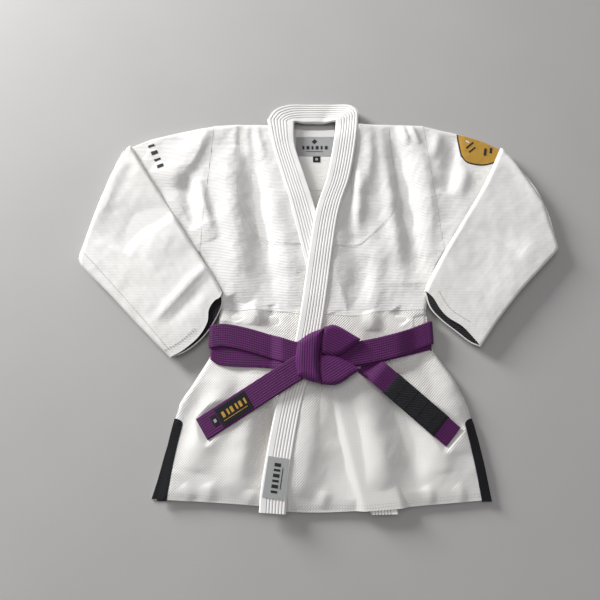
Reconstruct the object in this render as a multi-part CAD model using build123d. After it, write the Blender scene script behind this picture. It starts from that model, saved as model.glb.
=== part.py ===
from build123d import *
import math
import os

# Martial arts uniform jacket, laid on its back, belt tied, both sleeves folded over the front.
# All sizes in millimetres. +X points to the wearer's left, +Y to the collar, +Z up from the floor.
# The origin is on the floor under the middle of the laid-out jacket.

# ---- cloth, webbing and foam ----
cloth_t = 2.0  # body, skirt and sleeve cloth
ply_gap = 0.3  # air left between plies that lie on each other
seam_gap = 0.2  # the same between panels that meet edge to edge
cover_t = 1.2  # one face of the collar cover
core_t = 4.0  # foam strip inside the collar
core_gap = 0.1  # play of the foam strip in its cover
patch_t = 0.8  # reinforcement cloth
tape_t = 0.8  # vent, neck and cuff tapes
label_t = 0.6  # sewn labels and embroidery
fold_play = 0.5  # the two halves of a folded sleeve end this far from the fold line
belt_w = 42.0  # belt width
belt_t = 4.0  # belt thickness
lapel_w = 46.0  # width of the collar band

# ---- body outline on the floor ----
shoulder_y = 348.0  # outermost line of the shoulder fold
armpit_y = 62.0  # underarm corner
waist_y = -45.0  # seam between upper body and skirt
vent_y = -244.0  # top of the side vents
hem_y = -377.0  # hem at the side vents
hem_drop = 16.0  # how much lower the left front hangs beside its lapel
lapel_over = 20.0  # how far the under lapel reaches past the hem
neck_right = -108.0
neck_left = 88.0
armhole_right = -215.0
armhole_left = 216.0
armpit_right = -230.0
armpit_left = 240.0
waist_right = -188.0
waist_left = 198.0
hip_right = -256.0
hip_left = 262.0
hem_right = -279.0
hem_left = 286.0
back_hem_out = 13.0  # how far the back skirt shows past the right front

# ---- belt lay ----
belt_y_right = -74.0  # top edge of the upper wrap at the wearer's right side
belt_y_left = -65.0  # the same at the wearer's left side
wrap_shift = 19.0  # the inner wrap lies this much lower at the sides
belt_y_knot = -111.0  # top edge of both wraps under the knot
knot_x = 14.0
knot_band_w = 48.0
knot_rise = 15.0  # height of the knot over the wraps
lobe_rise = 11.0  # height of its two side lobes
side_straight = 12.0  # straight run of a wrap before it turns round the side
tail_right = ((-64.0, -168.0), (-209.0, -259.0))
tail_left = ((104.0, -166.0), (228.0, -271.5))
tail_root_z = 31.5  # underside of the tails where they leave the knot
rank_bar_from = 20.0
rank_bar_len = 118.0
rank_bar_t = 0.8
belt_label_from = 74.0
belt_label_len = 62.0
belt_label_w = 25.0
belt_tag_len = 14.0

# ---- trims ----
vent_tape_w = 13.0
neck_tape_w = 14.0
neck_tape_y = shoulder_y - 17.0
neck_label_w = 76.0
neck_label_h = 43.0
size_tab_w = 15.0
size_tab_h = 13.0
cuff_tape_w = 18.0
lapel_label_w = 36.0
lapel_label_h = 66.0
back_patch_y = shoulder_y - 144.0  # lower edge of the cloth patch inside the back of the neck
back_patch_half = 150.0
badge_bar_w = 7.0
badge_bar_len = 26.0
badge_pitch = 15.0
border_w = 5.0

# ---- stacking heights, from the floor up ----
back_over_belt = 2 * (belt_t + ply_gap)
under_low = back_over_belt + cloth_t + ply_gap
under_top = under_low + cloth_t
lapel_t = core_t + 2 * core_gap + 2 * cover_t
over_low = under_low + lapel_t + ply_gap
over_top = over_low + cloth_t
lapel_top = over_low + lapel_t
wrap_side_z = under_top + ply_gap
wrap_mid_z = lapel_top + ply_gap
wraps_top = wrap_mid_z + 2 * belt_t + ply_gap
knot_low = wraps_top + ply_gap
tail_end_z = under_top + ply_gap
forearm_low = under_top + ply_gap
forearm_t = 2 * cloth_t + 8.0  # flattened forearm tube, with room between its faces
roll_r = under_top / 2
shoulder_line = shoulder_y - roll_r
high_line = shoulder_line - cloth_t
belt_low = belt_y_right - wrap_shift - belt_w - 5.0
belt_high = belt_y_left + 5.0
roll_start_y = belt_low - back_over_belt - 10.0
step_in = 132.0  # the left front leaves the overlap here
step_out = 167.0  # and has come down to its side level here
lapel_foot = -84.0  # the belt starts to climb over the lapel here
lapel_seam_y = shoulder_y - 125.0  # seam across the left collar band, where it turns to the neck
far = 480.0  # longer than any half of the jacket

# ---- sleeve lay: ends of the flattened tube at armhole, elbow fold and cuff ----
right_armhole = ((armhole_right - seam_gap, shoulder_y), (armpit_right - seam_gap, armpit_y + 4.0))
left_armhole = ((armhole_left + seam_gap, shoulder_y), (armpit_left + seam_gap, armpit_y + 4.0))
right_fold = ((-384.0, 297.0), (-459.5, 58.0))
left_fold = ((371.0, 287.0), (459.5, 80.0))
right_cuff = ((-184.0, -5.0), (-264.0, -123.0))
left_cuff = ((200.0, -4.0), (278.0, -112.0))

# ---- centre lines of the collar band ----
over_lapel_line = (
    (57.0, 356.0),
    (38.5, 223.0),
    (12.5, 134.0),
    (-22.0, -91.0),
    (-56.0, -211.0),
    (-79.0, -339.0),
    (-84.0, hem_y - hem_drop),
)
under_lapel_line = (
    (-83.0, 358.0),
    (-70.0, 297.0),
    (-49.0, 223.0),
    (-27.0, 145.0),
    (30.0, -100.0),
    (104.0, hem_y - lapel_over),
)
neck_line = ((-59.0, 374.0), (0.0, 374.0), (60.0, 370.0))


# ---- shared shapes ----
def slab(face, z_low, z_high):
    """Upright block from a flat outline."""
    return extrude(Pos(0, 0, z_low) * face, z_high - z_low)


def outline(*points):
    """Flat face inside a closed run of straight edges."""
    return make_face(Polyline(*points, close=True))


def band(line, width, trim=0.0):
    """Flat face of one width along a smooth centre line, cut back at both ends."""
    path = Spline(*line)
    if trim:
        path = path.trim(trim / path.length, 1 - trim / path.length)
    return trace(path, width)


def toward(a, b, distance):
    """Point at a distance from a on the way to b."""
    part = distance / math.dist(a, b)
    return (a[0] + (b[0] - a[0]) * part, a[1] + (b[1] - a[1]) * part)


def between(a, b, y):
    """Point of the line a-b at a height y."""
    part = (y - a[1]) / (b[1] - a[1])
    return (a[0] + (b[0] - a[0]) * part, y)


def over_ply(lift, thick):
    """Ply that runs over the collar overlap and steps down towards the left side."""
    low = over_low + lift
    side = under_low + lift
    under = ((-far, low), (step_in, low), (step_out, side), (far, side))
    upper = [(x, z + thick) for x, z in reversed(under)]
    face = make_face(Plane.XZ * Polyline(*under, *upper, close=True))
    return extrude(face, far, both=True)


def humped_ply(lift, thick):
    """Back ply that lies on the floor and climbs over the belt behind the waist."""
    run = back_over_belt + 3.0
    under = (
        (far, lift),
        (belt_high + run, lift),
        (belt_high, back_over_belt + lift),
        (belt_low, back_over_belt + lift),
        (belt_low - run, lift),
        (-far, lift),
    )
    upper = [(y, z + thick) for y, z in reversed(under)]
    face = make_face(Plane.YZ * Polyline(*under, *upper, close=True))
    return extrude(face, far, both=True)


def rolled_edge(start, end):
    """Half-round fold that brings the front ply down to the back ply.

    The outside of the jacket is on the right hand of the way from start to end.
    """
    way = Vector(end[0] - start[0], end[1] - start[1], 0)
    forward = way.normalized()
    section = Plane((*start, roll_r), x_dir=forward.cross(Vector(0, 0, 1)), z_dir=forward)
    ring = Circle(roll_r) - Circle(roll_r - cloth_t)
    half = ring & Pos(roll_r / 2, 0) * Rectangle(roll_r, 2 * roll_r)
    return extrude(section * half, way.length)


def tube_section(ends, z_low, height, inset, slide):
    """Rounded section of a flattened sleeve, standing on the line between two ends."""
    first = Vector(*ends[0], 0)
    second = Vector(*ends[1], 0)
    along = (second - first).normalized()
    middle = (first + second) / 2 + slide + Vector(0, 0, z_low + height / 2)
    wide = (second - first).length - 2 * inset
    tall = height - 2 * inset
    section = Plane(middle, x_dir=along, z_dir=along.cross(Vector(0, 0, 1)))
    return section * RectangleRounded(wide, tall, tall * 0.45)


def flat_tube(near, away, z_low, height, inset=0.0, wall=cloth_t):
    """Flattened tube of cloth between two ends, open at both."""
    near_mid = Vector(*toward(near[0], near[1], math.dist(*near) / 2), 0)
    away_mid = Vector(*toward(away[0], away[1], math.dist(*away) / 2), 0)
    reach = (away_mid - near_mid).normalized() * 3.0
    rest = Vector(0, 0, 0)
    outer = loft(
        [
            tube_section(near, z_low, height, inset, rest),
            tube_section(away, z_low, height, inset, rest),
        ],
        ruled=True,
    )
    inner = loft(
        [
            tube_section(near, z_low, height, inset + wall, reach * -1),
            tube_section(away, z_low, height, inset + wall, reach),
        ],
        ruled=True,
    )
    return outer - inner


def strap(start, end, z_start, z_end, width, thick):
    """Straight strap that slopes evenly from one end to the other."""
    length = math.dist(start, end)
    along = Vector(end[0] - start[0], end[1] - start[1], 0).normalized()
    side = Plane(Vector(*start, 0), x_dir=along, z_dir=along.cross(Vector(0, 0, 1)))
    profile = Polyline(
        (0, z_start),
        (length, z_end),
        (length, z_end + thick),
        (0, z_start + thick),
        close=True,
    )
    return extrude(make_face(side * profile), width / 2, both=True)


def beside_lapel(face, line, z_low, z_high, left_side):
    """Block of a front panel on one side of its collar band."""
    block = slab(face, z_low, z_high) - slab(band(line, lapel_w + 2 * seam_gap), 0, far)
    pieces = block.solids().sort_by(Axis.X)
    return Part() + (pieces[-1] if left_side else pieces[0])


# ---- body panels ----
def back_panel():
    """Upper back from the shoulders to the waist seam."""
    face = outline(
        (armhole_right + seam_gap, shoulder_line - seam_gap),
        (armpit_right + seam_gap, armpit_y),
        (waist_right + seam_gap, waist_y),
        (waist_left - seam_gap, waist_y),
        (armpit_left - seam_gap, armpit_y),
        (armhole_left - seam_gap, shoulder_line - seam_gap),
        (step_out, shoulder_line - seam_gap),
        (step_out, high_line - seam_gap),
        (neck_left, high_line - seam_gap),
        (neck_right, shoulder_line - seam_gap),
    )
    return slab(face, 0, cloth_t)


def back_skirt():
    """Lower back from the waist seam to the hem, humped over the belt."""
    top = waist_y - seam_gap
    face = outline(
        (waist_right + seam_gap, top),
        (waist_left - seam_gap, top),
        (waist_left - seam_gap, belt_low),
        (hip_left - seam_gap, vent_y),
        (hem_left, hem_y + 2.0),
        (hem_right - back_hem_out, hem_y + 2.0),
        (hip_right + seam_gap, vent_y),
        (waist_right + seam_gap, belt_low),
    )
    return slab(face, -1.0, under_low) & humped_ply(0, cloth_t)


def right_front_panel():
    """Upper right front, the one that lies underneath."""
    face = outline(
        (armhole_right, shoulder_line),
        (armpit_right, armpit_y),
        (waist_right, waist_y),
        (60.0, waist_y),
        (-40.0, shoulder_line),
    )
    plate = beside_lapel(face, under_lapel_line, under_low, under_top, False)
    side = rolled_edge((armpit_right, armpit_y), (waist_right, waist_y))
    top = rolled_edge((neck_right, shoulder_line), (armhole_right, shoulder_line))
    return plate + side + top


def left_front_panel():
    """Upper left front, lapped over the right one."""
    face = outline(
        (armhole_left, shoulder_line),
        (armpit_left, armpit_y),
        (waist_left, waist_y),
        (-60.0, waist_y),
        (20.0, shoulder_line),
    )
    plate = beside_lapel(face, over_lapel_line, cloth_t, lapel_top, True)
    plate = plate & over_ply(0, cloth_t)
    side = rolled_edge((waist_left, waist_y), (armpit_left, armpit_y))
    top = rolled_edge((armhole_left, shoulder_line), (step_out, shoulder_line))
    wall = slab(
        outline(
            (neck_left, high_line),
            (step_out - ply_gap, high_line),
            (step_out - ply_gap, shoulder_line),
            (neck_left, shoulder_line),
        ),
        0,
        over_top,
    )
    wall = wall - over_ply(cloth_t, far)
    return plate + side + top + wall


def right_front_skirt():
    """Right skirt, which lies underneath."""
    top = waist_y - seam_gap
    waist = (waist_right, belt_low)
    hip = (hip_right, vent_y)
    face = outline(
        (waist_right, top), waist, hip, (hem_right, hem_y), (130.0, hem_y - 9.0), (10.0, top)
    )
    plate = beside_lapel(face, under_lapel_line, under_low, under_top, False)
    return plate + rolled_edge(between(waist, hip, roll_start_y), hip)


def left_front_skirt():
    """Left skirt, lapped over the right one."""
    top = waist_y - seam_gap
    waist = (waist_left, belt_low)
    hip = (hip_left, vent_y)
    lapel_hem = hem_y - hem_drop
    face = outline(
        (waist_left, top), waist, hip, (hem_left, hem_y), (60.0, lapel_hem), (-90.0, lapel_hem), (-50.0, top)
    )
    plate = beside_lapel(face, over_lapel_line, cloth_t, lapel_top, True)
    plate = plate & over_ply(0, cloth_t)
    return plate + rolled_edge(hip, between(waist, hip, roll_start_y))


# ---- reinforcements ----
def right_chest_patch():
    """Second ply sewn on the right chest beside the collar."""
    face = outline(
        (-150.0, shoulder_line),
        (-160.0, 190.0),
        (-125.0, 110.0),
        (-85.0, 86.0),
        (-10.0, 84.0),
        (-60.0, shoulder_line),
    )
    return beside_lapel(face, under_lapel_line, under_top, under_top + patch_t, False)


def left_chest_patch():
    """Second ply sewn on the left chest beside the collar."""
    face = outline(
        (142.0, shoulder_line),
        (152.0, 235.0),
        (138.0, 175.0),
        (105.0, 112.0),
        (75.0, 88.0),
        (10.0, 84.0),
        (50.0, shoulder_line),
    )
    plate = beside_lapel(face, over_lapel_line, cloth_t, lapel_top, True)
    return plate & over_ply(cloth_t, patch_t)


def back_neck_patch():
    """Second ply inside the back of the neck."""
    face = outline(
        (-back_patch_half, shoulder_line - 12.0),
        (-back_patch_half, back_patch_y),
        (back_patch_half, back_patch_y),
        (back_patch_half, shoulder_line - 12.0),
    )
    return slab(face, cloth_t, cloth_t + patch_t)


# ---- collar ----
def collar_cover(line, z_low):
    """Cloth sleeve of the collar band, closed round its foam strip."""
    whole = slab(band(line, lapel_w), z_low, z_low + lapel_t)
    pocket = band(line, lapel_w - 2 * cover_t, cover_t)
    return whole - slab(pocket, z_low + cover_t, z_low + lapel_t - cover_t)


def cut_across(shape, y_low, y_high):
    """Part of a shape between two lines across the jacket."""
    strip = outline((-far, y_low), (far, y_low), (far, y_high), (-far, y_high))
    return shape & slab(strip, -1.0, far)


def collar_core(line, z_low):
    """Foam strip inside the collar band."""
    inset = cover_t + core_gap
    strip = band(line, lapel_w - 2 * inset, inset)
    return slab(strip, z_low + inset, z_low + inset + core_t)


# ---- sleeves ----
def drawn_in(ends, other):
    """Ends of a tube drawn back towards its other end by the play at the fold."""
    return [toward(a, b, fold_play) for a, b in zip(ends, other)]


def upper_sleeve(armhole, fold):
    """Sleeve from the armhole to the fold, flat on the floor."""
    return flat_tube(armhole, drawn_in(fold, armhole), 0, under_top)


def forearm_sleeve(fold, cuff):
    """Sleeve from the fold to the cuff, turned back over the front."""
    return flat_tube(drawn_in(fold, cuff), cuff, forearm_low, forearm_t)


def cuff_tape(fold, cuff):
    """Ring of tape sewn inside the cuff."""
    low = [toward(c, f, cuff_tape_w) for c, f in zip(cuff, fold)]
    return flat_tube(low, cuff, forearm_low, forearm_t, cloth_t, tape_t)


# ---- belt ----
def wrap_section(level):
    """Closed section of one wrap round the waist, seen along the jacket."""
    inner = outline(
        (waist_right - ply_gap, back_over_belt - ply_gap),
        (waist_left + ply_gap, back_over_belt - ply_gap),
        (waist_left + ply_gap, wrap_side_z),
        (step_out + 5.0, wrap_side_z),
        (step_in + 5.0, wrap_mid_z),
        (lapel_foot + 14.0, wrap_mid_z),
        (lapel_foot, wrap_side_z),
        (waist_right - ply_gap, wrap_side_z),
    )
    start = level * (belt_t + ply_gap)
    hole = offset(inner, start) if start else inner
    return offset(inner, start + belt_t) - hole


def belt_wrap(level, y_right, y_left, y_knot):
    """One turn of the belt round the waist, dipping to the knot in front."""
    ring = extrude(Plane.XZ * wrap_section(level), far, both=True)
    turn_right = waist_right + side_straight
    turn_left = waist_left - side_straight
    back_edge = ((-far, y_right), (turn_right, y_right), (turn_left, y_left), (far, y_left))
    front_edge = back_edge[:2] + ((knot_x, y_knot),) + back_edge[2:]
    half = (back_over_belt + wrap_side_z) / 2
    back = ring & slab(strip_below(back_edge), -1.0, half)
    front = ring & slab(strip_below(front_edge), half, far)
    return back + front


def strip_below(edge):
    """Flat strip of belt width under its top edge."""
    return outline(*edge, *[(x, y - belt_w) for x, y in reversed(edge)])


def belt_knot():
    """Square knot: a band over the front and two lobes on the wearer's left."""
    top = belt_y_knot + 27.0
    low = belt_y_knot - belt_w - 27.0
    left = knot_x - knot_band_w - 10.0
    right = knot_x - 10.0
    mid = (top + low) / 2
    front = outline((left, top - 22.0), (right, top), (right, low), (left, low + 14.0))
    upper = outline((right - 6, top), (right + 22, top), (right + 62, top - 26), (right - 6, mid + 2))
    lower = outline((right - 6, mid - 2), (right + 60, low + 24), (right + 24, low), (right - 6, low))
    knot = slab(front, knot_low, knot_low + knot_rise)
    knot = knot + slab(upper, knot_low, knot_low + lobe_rise)
    knot = knot + slab(lower, knot_low, knot_low + lobe_rise)
    edges = knot.edges().filter_by(lambda e: abs(e.center().Z - knot_low - knot_rise) < 0.01)
    return fillet(edges, 3.5)


def belt_tail(run):
    """Free end of the belt, from the knot down to the skirt."""
    return strap(run[0], run[1], tail_root_z, tail_end_z, belt_w, belt_t)


def tail_height(run, distance):
    """Height of a tail's underside at a distance from its root."""
    return tail_root_z + (tail_end_z - tail_root_z) * distance / math.dist(*run)


def on_tail(run, begin, length, width, lift, thick):
    """Piece of strap that follows a tail at a lift over its underside."""
    start = toward(run[0], run[1], begin)
    end = toward(run[0], run[1], begin + length)
    z_start = tail_height(run, begin) + lift
    z_end = tail_height(run, begin + length) + lift
    return strap(start, end, z_start, z_end, width, thick)


def rank_bar():
    """Cloth sleeve round the left tail."""
    play = core_gap
    wall = play + rank_bar_t
    outer = on_tail(
        tail_left, rank_bar_from, rank_bar_len, belt_w + 2 * wall, -wall, belt_t + 2 * wall
    )
    room = on_tail(
        tail_left, rank_bar_from - 2, rank_bar_len + 4, belt_w + 2 * play, -play, belt_t + 2 * play
    )
    return outer - room


def belt_label():
    """Label sewn on the right tail."""
    return on_tail(tail_right, belt_label_from, belt_label_len, belt_label_w, belt_t, label_t)


def belt_size_tag():
    """Small tag beside the belt label."""
    begin = belt_label_from + belt_label_len + 2.0
    return on_tail(tail_right, begin, belt_tag_len, belt_label_w * 0.8, belt_t, label_t)


# ---- tapes, labels and marks ----
def vent_tape(top, bottom, inward, z_low):
    """Tape along one edge of a side vent."""
    face = outline(top, bottom, (bottom[0] + inward, bottom[1]), (top[0] + inward, top[1]))
    return slab(face, z_low, z_low + tape_t)


def plate(x, y, width, height, z_low, turn=0.0):
    """Flat rectangular label."""
    return slab(Pos(x, y) * Rot(0, 0, turn) * Rectangle(width, height), z_low, z_low + label_t)


def shoulder_badge_face():
    """Outline of the shield badge on the left shoulder."""
    return outline((296.0, 303.0), (330.0, 264.0), (366.0, 281.0))


def shoulder_badge():
    """Embroidered shield on the left shoulder."""
    return slab(offset(shoulder_badge_face(), -border_w), under_top, under_top + label_t)


def shoulder_badge_border():
    """Raised border round the shield."""
    outer = shoulder_badge_face()
    inner = offset(outer, -border_w + seam_gap)
    return slab(outer - inner, under_top, under_top + label_t)


def sleeve_marks():
    """Row of plain embroidered bars on the right sleeve."""
    bars = Part()
    for i in range(4):
        x = -343.0 + 7.0 * i
        y = 300.0 - badge_pitch * i
        bars = bars + plate(x, y, badge_bar_len * 0.5, badge_bar_w, under_top, 20.0)
    return bars


# ---- the whole uniform ----
neck_tape_z = cloth_t + patch_t
shapes = {
    "back_panel": back_panel(),
    "back_skirt": back_skirt(),
    "right_front_panel": right_front_panel(),
    "left_front_panel": left_front_panel(),
    "right_front_skirt": right_front_skirt(),
    "left_front_skirt": left_front_skirt(),
    "right_chest_reinforcement": right_chest_patch(),
    "left_chest_reinforcement": left_chest_patch(),
    "back_neck_reinforcement": back_neck_patch(),
    "right_lapel_cover": collar_cover(under_lapel_line, under_low),
    "right_lapel_core": collar_core(under_lapel_line, under_low),
    "left_lapel_cover": cut_across(
        collar_cover(over_lapel_line, over_low), -far, lapel_seam_y - seam_gap
    ),
    "left_lapel_neck_cover": cut_across(
        collar_cover(over_lapel_line, over_low), lapel_seam_y, far
    ),
    "left_lapel_core": collar_core(over_lapel_line, over_low),
    "neck_collar_cover": collar_cover(neck_line, neck_tape_z + tape_t),
    "neck_collar_core": collar_core(neck_line, neck_tape_z + tape_t),
    "right_upper_sleeve": upper_sleeve(right_armhole, right_fold),
    "left_upper_sleeve": upper_sleeve(left_armhole, left_fold),
    "right_forearm_sleeve": forearm_sleeve(right_fold, right_cuff),
    "left_forearm_sleeve": forearm_sleeve(left_fold, left_cuff),
    "right_cuff_tape": cuff_tape(right_fold, right_cuff),
    "left_cuff_tape": cuff_tape(left_fold, left_cuff),
    "belt_outer_wrap": belt_wrap(1, belt_y_right, belt_y_left, belt_y_knot),
    "belt_inner_wrap": belt_wrap(
        0, belt_y_right - wrap_shift, belt_y_left - wrap_shift, belt_y_knot - 2.0
    ),
    "belt_knot": belt_knot(),
    "belt_right_tail": belt_tail(tail_right),
    "belt_left_tail": belt_tail(tail_left),
    "belt_rank_bar": rank_bar(),
    "belt_label": belt_label(),
    "belt_size_tag": belt_size_tag(),
    "right_front_vent_tape": vent_tape(
        (hip_right, vent_y), (hem_right, hem_y), vent_tape_w, under_top
    ),
    "left_front_vent_tape": vent_tape(
        (hip_left, vent_y), (hem_left, hem_y), -vent_tape_w, under_top
    ),
    "right_back_vent_tape": vent_tape(
        (hip_right + seam_gap, vent_y), (hem_right - back_hem_out, hem_y + 2.0), vent_tape_w, cloth_t
    ),
    "left_back_vent_tape": vent_tape(
        (hip_left - seam_gap, vent_y), (hem_left, hem_y + 2.0), -vent_tape_w, cloth_t
    ),
    "neck_tape": slab(
        Pos(0, neck_tape_y) * Rectangle(150.0, neck_tape_w), neck_tape_z, neck_tape_z + tape_t
    ),
    "neck_label": plate(
        -8.0, neck_tape_y - neck_tape_w / 2 - 1 - neck_label_h / 2, neck_label_w, neck_label_h, neck_tape_z
    ),
    "neck_size_tab": plate(
        -4.0,
        neck_tape_y - neck_tape_w / 2 - 2 - neck_label_h - size_tab_h / 2,
        size_tab_w,
        size_tab_h,
        neck_tape_z,
    ),
    "lapel_label": plate(-78.5, -337.0, lapel_label_w, lapel_label_h, lapel_top, -8.0),
    "shoulder_badge": shoulder_badge(),
    "shoulder_badge_border": shoulder_badge_border(),
    "sleeve_marks": sleeve_marks(),
}

os.makedirs("parts", exist_ok=True)
for node, shape in shapes.items():
    export_step(shape, f"parts/{node}.step")
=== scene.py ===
"""Looks of a martial arts uniform: a white jacket laid flat with its purple belt tied.

Every piece is in metres in the row frame: +X to the wearer's left, +Y to the collar, +Z up.
Shapes are worked out in millimetres, the maker's unit, and scaled when a mesh is made.
"""

import logging
import math
from dataclasses import dataclass
from enum import Enum

import bmesh
import bpy
import numpy as np
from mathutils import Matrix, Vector


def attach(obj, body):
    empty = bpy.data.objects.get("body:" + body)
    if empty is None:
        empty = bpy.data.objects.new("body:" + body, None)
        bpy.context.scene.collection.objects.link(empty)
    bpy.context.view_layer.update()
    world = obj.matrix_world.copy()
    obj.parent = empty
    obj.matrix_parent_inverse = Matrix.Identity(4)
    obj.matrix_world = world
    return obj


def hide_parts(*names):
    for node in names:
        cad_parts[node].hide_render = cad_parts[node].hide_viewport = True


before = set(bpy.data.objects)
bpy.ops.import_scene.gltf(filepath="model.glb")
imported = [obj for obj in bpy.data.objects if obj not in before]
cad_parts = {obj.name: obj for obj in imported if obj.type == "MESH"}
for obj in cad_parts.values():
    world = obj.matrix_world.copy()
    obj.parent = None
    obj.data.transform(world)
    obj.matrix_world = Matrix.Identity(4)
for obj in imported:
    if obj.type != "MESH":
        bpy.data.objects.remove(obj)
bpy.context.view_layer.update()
LOG = logging.getLogger("uniform")
MM = 0.001
# Widths of the belt and the collar band and thickness of the cloth, in millimetres.
BELT_WIDTH = 42.0
BAND_WIDTH = 46.0
CLOTH = 1.8

Grid = np.ndarray
Material = bpy.types.Material
Piece = bpy.types.Object
Socket = bpy.types.NodeSocket
Colour = tuple[float, float, float]
Place = tuple[float, float, float]
Spot = tuple[float, float]
Points = tuple[Spot, ...]
Sides = tuple[Points, Points, Points, Points]


class Body(str, Enum):
    """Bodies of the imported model."""

    JACKET = "jacket"
    RIGHT_FOREARM = "right_forearm"
    LEFT_FOREARM = "left_forearm"
    RIGHT_TAIL = "right_belt_tail"
    LEFT_TAIL = "left_belt_tail"


class Weave(Enum):
    """Named weaves, as (threads across, threads along, turn in degrees, relief)."""

    PEARL = (2.1, 3.0, 0.0, 0.42)
    DIAMOND = (3.4, 3.4, 45.0, 0.5)
    SLEEVE = (2.1, 3.0, 0.0, 0.14)
    TWILL = (1.2, 4.0, 35.0, 0.4)
    SATIN = (0.8, 0.8, 0.0, 0.2)


# ---------------------------------------------------------------- finishes


class NodeTree:
    """Small helper that wires a material's nodes."""

    def __init__(self, name: str) -> None:
        """Start a material with a principled shader.

        Args:
            name: name of the material.
        """
        self.material = bpy.data.materials.new(name)
        self.material.use_nodes = True
        self.nodes = self.material.node_tree.nodes
        self.links = self.material.node_tree.links
        self.shader = next(n for n in self.nodes if n.type == "BSDF_PRINCIPLED")

    def add(self, kind: str, **values: object) -> bpy.types.Node:
        """Add a node and set its plain attributes.

        Args:
            kind: type name of the node.
            values: attribute names and values.

        Returns:
            The new node.
        """
        node = self.nodes.new(kind)
        for key, value in values.items():
            setattr(node, key, value)
        return node

    def link(self, out: Socket, into: Socket) -> None:
        """Join two sockets."""
        self.links.new(out, into)

    def math(self, operation: str, first: object, second: object = 0.0) -> Socket:
        """Add a math node fed by sockets or numbers.

        Args:
            operation: math operation.
            first: first socket or number.
            second: second socket or number.

        Returns:
            The result socket.
        """
        node = self.add("ShaderNodeMath", operation=operation)
        for slot, value in zip(node.inputs, (first, second)):
            if isinstance(value, (int, float)):
                slot.default_value = value
            else:
                self.link(value, slot)
        return node.outputs[0]

    def mix(self, factor: object, first: tuple, second: tuple) -> Socket:
        """Mix two colours.

        Args:
            factor: socket that drives the mix.
            first: colour or socket at 0.
            second: colour or socket at 1.

        Returns:
            The colour socket.
        """
        node = self.add("ShaderNodeMix", data_type="RGBA")
        self.link(factor, node.inputs[0])
        for slot, value in ((node.inputs[6], first), (node.inputs[7], second)):
            if isinstance(value, tuple):
                slot.default_value = (*value, 1.0)
            else:
                self.link(value, slot)
        return node.outputs[2]

    def wave(self, source: Socket, pitch: float) -> Socket:
        """Sine of a coordinate with one pitch, from 0 to 1.

        Args:
            source: coordinate in metres.
            pitch: pitch in metres.

        Returns:
            The wave socket.
        """
        turned = self.math("MULTIPLY", source, 2 * math.pi / pitch)
        return self.math("MULTIPLY_ADD", self.math("SINE", turned), 0.5)

    def ramp(self, source: Socket, low: float, high: float) -> Socket:
        """Spread the stretch of a value between two levels over 0 to 1.

        Args:
            source: value socket.
            low: level that becomes 0.
            high: level that becomes 1.

        Returns:
            The spread value.
        """
        node = self.add("ShaderNodeMapRange")
        self.link(source, node.inputs["Value"])
        node.inputs["From Min"].default_value = low
        node.inputs["From Max"].default_value = high
        return node.outputs["Result"]

    def uv(self) -> tuple[Socket, Socket]:
        """Both coordinates of the piece's own flat pattern, in metres."""
        node = self.add("ShaderNodeUVMap", uv_map="flat")
        split = self.add("ShaderNodeSeparateXYZ")
        self.link(node.outputs[0], split.inputs[0])
        return split.outputs[0], split.outputs[1]

    def cloudy(self, scale: float, detail: float = 3.0) -> Socket:
        """Soft noise over the object's own coordinates.

        Args:
            scale: features per metre.
            detail: octaves.

        Returns:
            The noise value.
        """
        place = self.add("ShaderNodeTexCoord")
        cloud = self.add("ShaderNodeTexNoise")
        cloud.inputs["Scale"].default_value = scale
        cloud.inputs["Detail"].default_value = detail
        self.link(place.outputs["Object"], cloud.inputs["Vector"])
        return cloud.outputs["Fac"]

    def coat(self, tone: Socket, fuzz: Socket, dull: Spot, sheen: float, specular: float = 0.25) -> None:
        """Set the shader's colour, roughness, sheen and gloss.

        Args:
            tone: colour socket.
            fuzz: noise that varies the roughness.
            dull: levels of the noise that give roughness 0 and 1.
            sheen: weight of the sheen.
            specular: strength of the gloss.
        """
        self.link(tone, self.shader.inputs["Base Color"])
        self.link(self.ramp(fuzz, *dull), self.shader.inputs["Roughness"])
        self.shader.inputs["Sheen Weight"].default_value = sheen
        self.shader.inputs["Specular IOR Level"].default_value = specular

    def bump(self, height: Socket, depth: float) -> None:
        """Feed a height in 0 to 1 to the shader as relief.

        Args:
            height: height socket.
            depth: depth of the relief in metres.
        """
        node = self.add("ShaderNodeBump")
        node.inputs["Strength"].default_value = 1.0
        node.inputs["Distance"].default_value = depth
        self.link(height, node.inputs["Height"])
        self.link(node.outputs[0], self.shader.inputs["Normal"])


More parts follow.
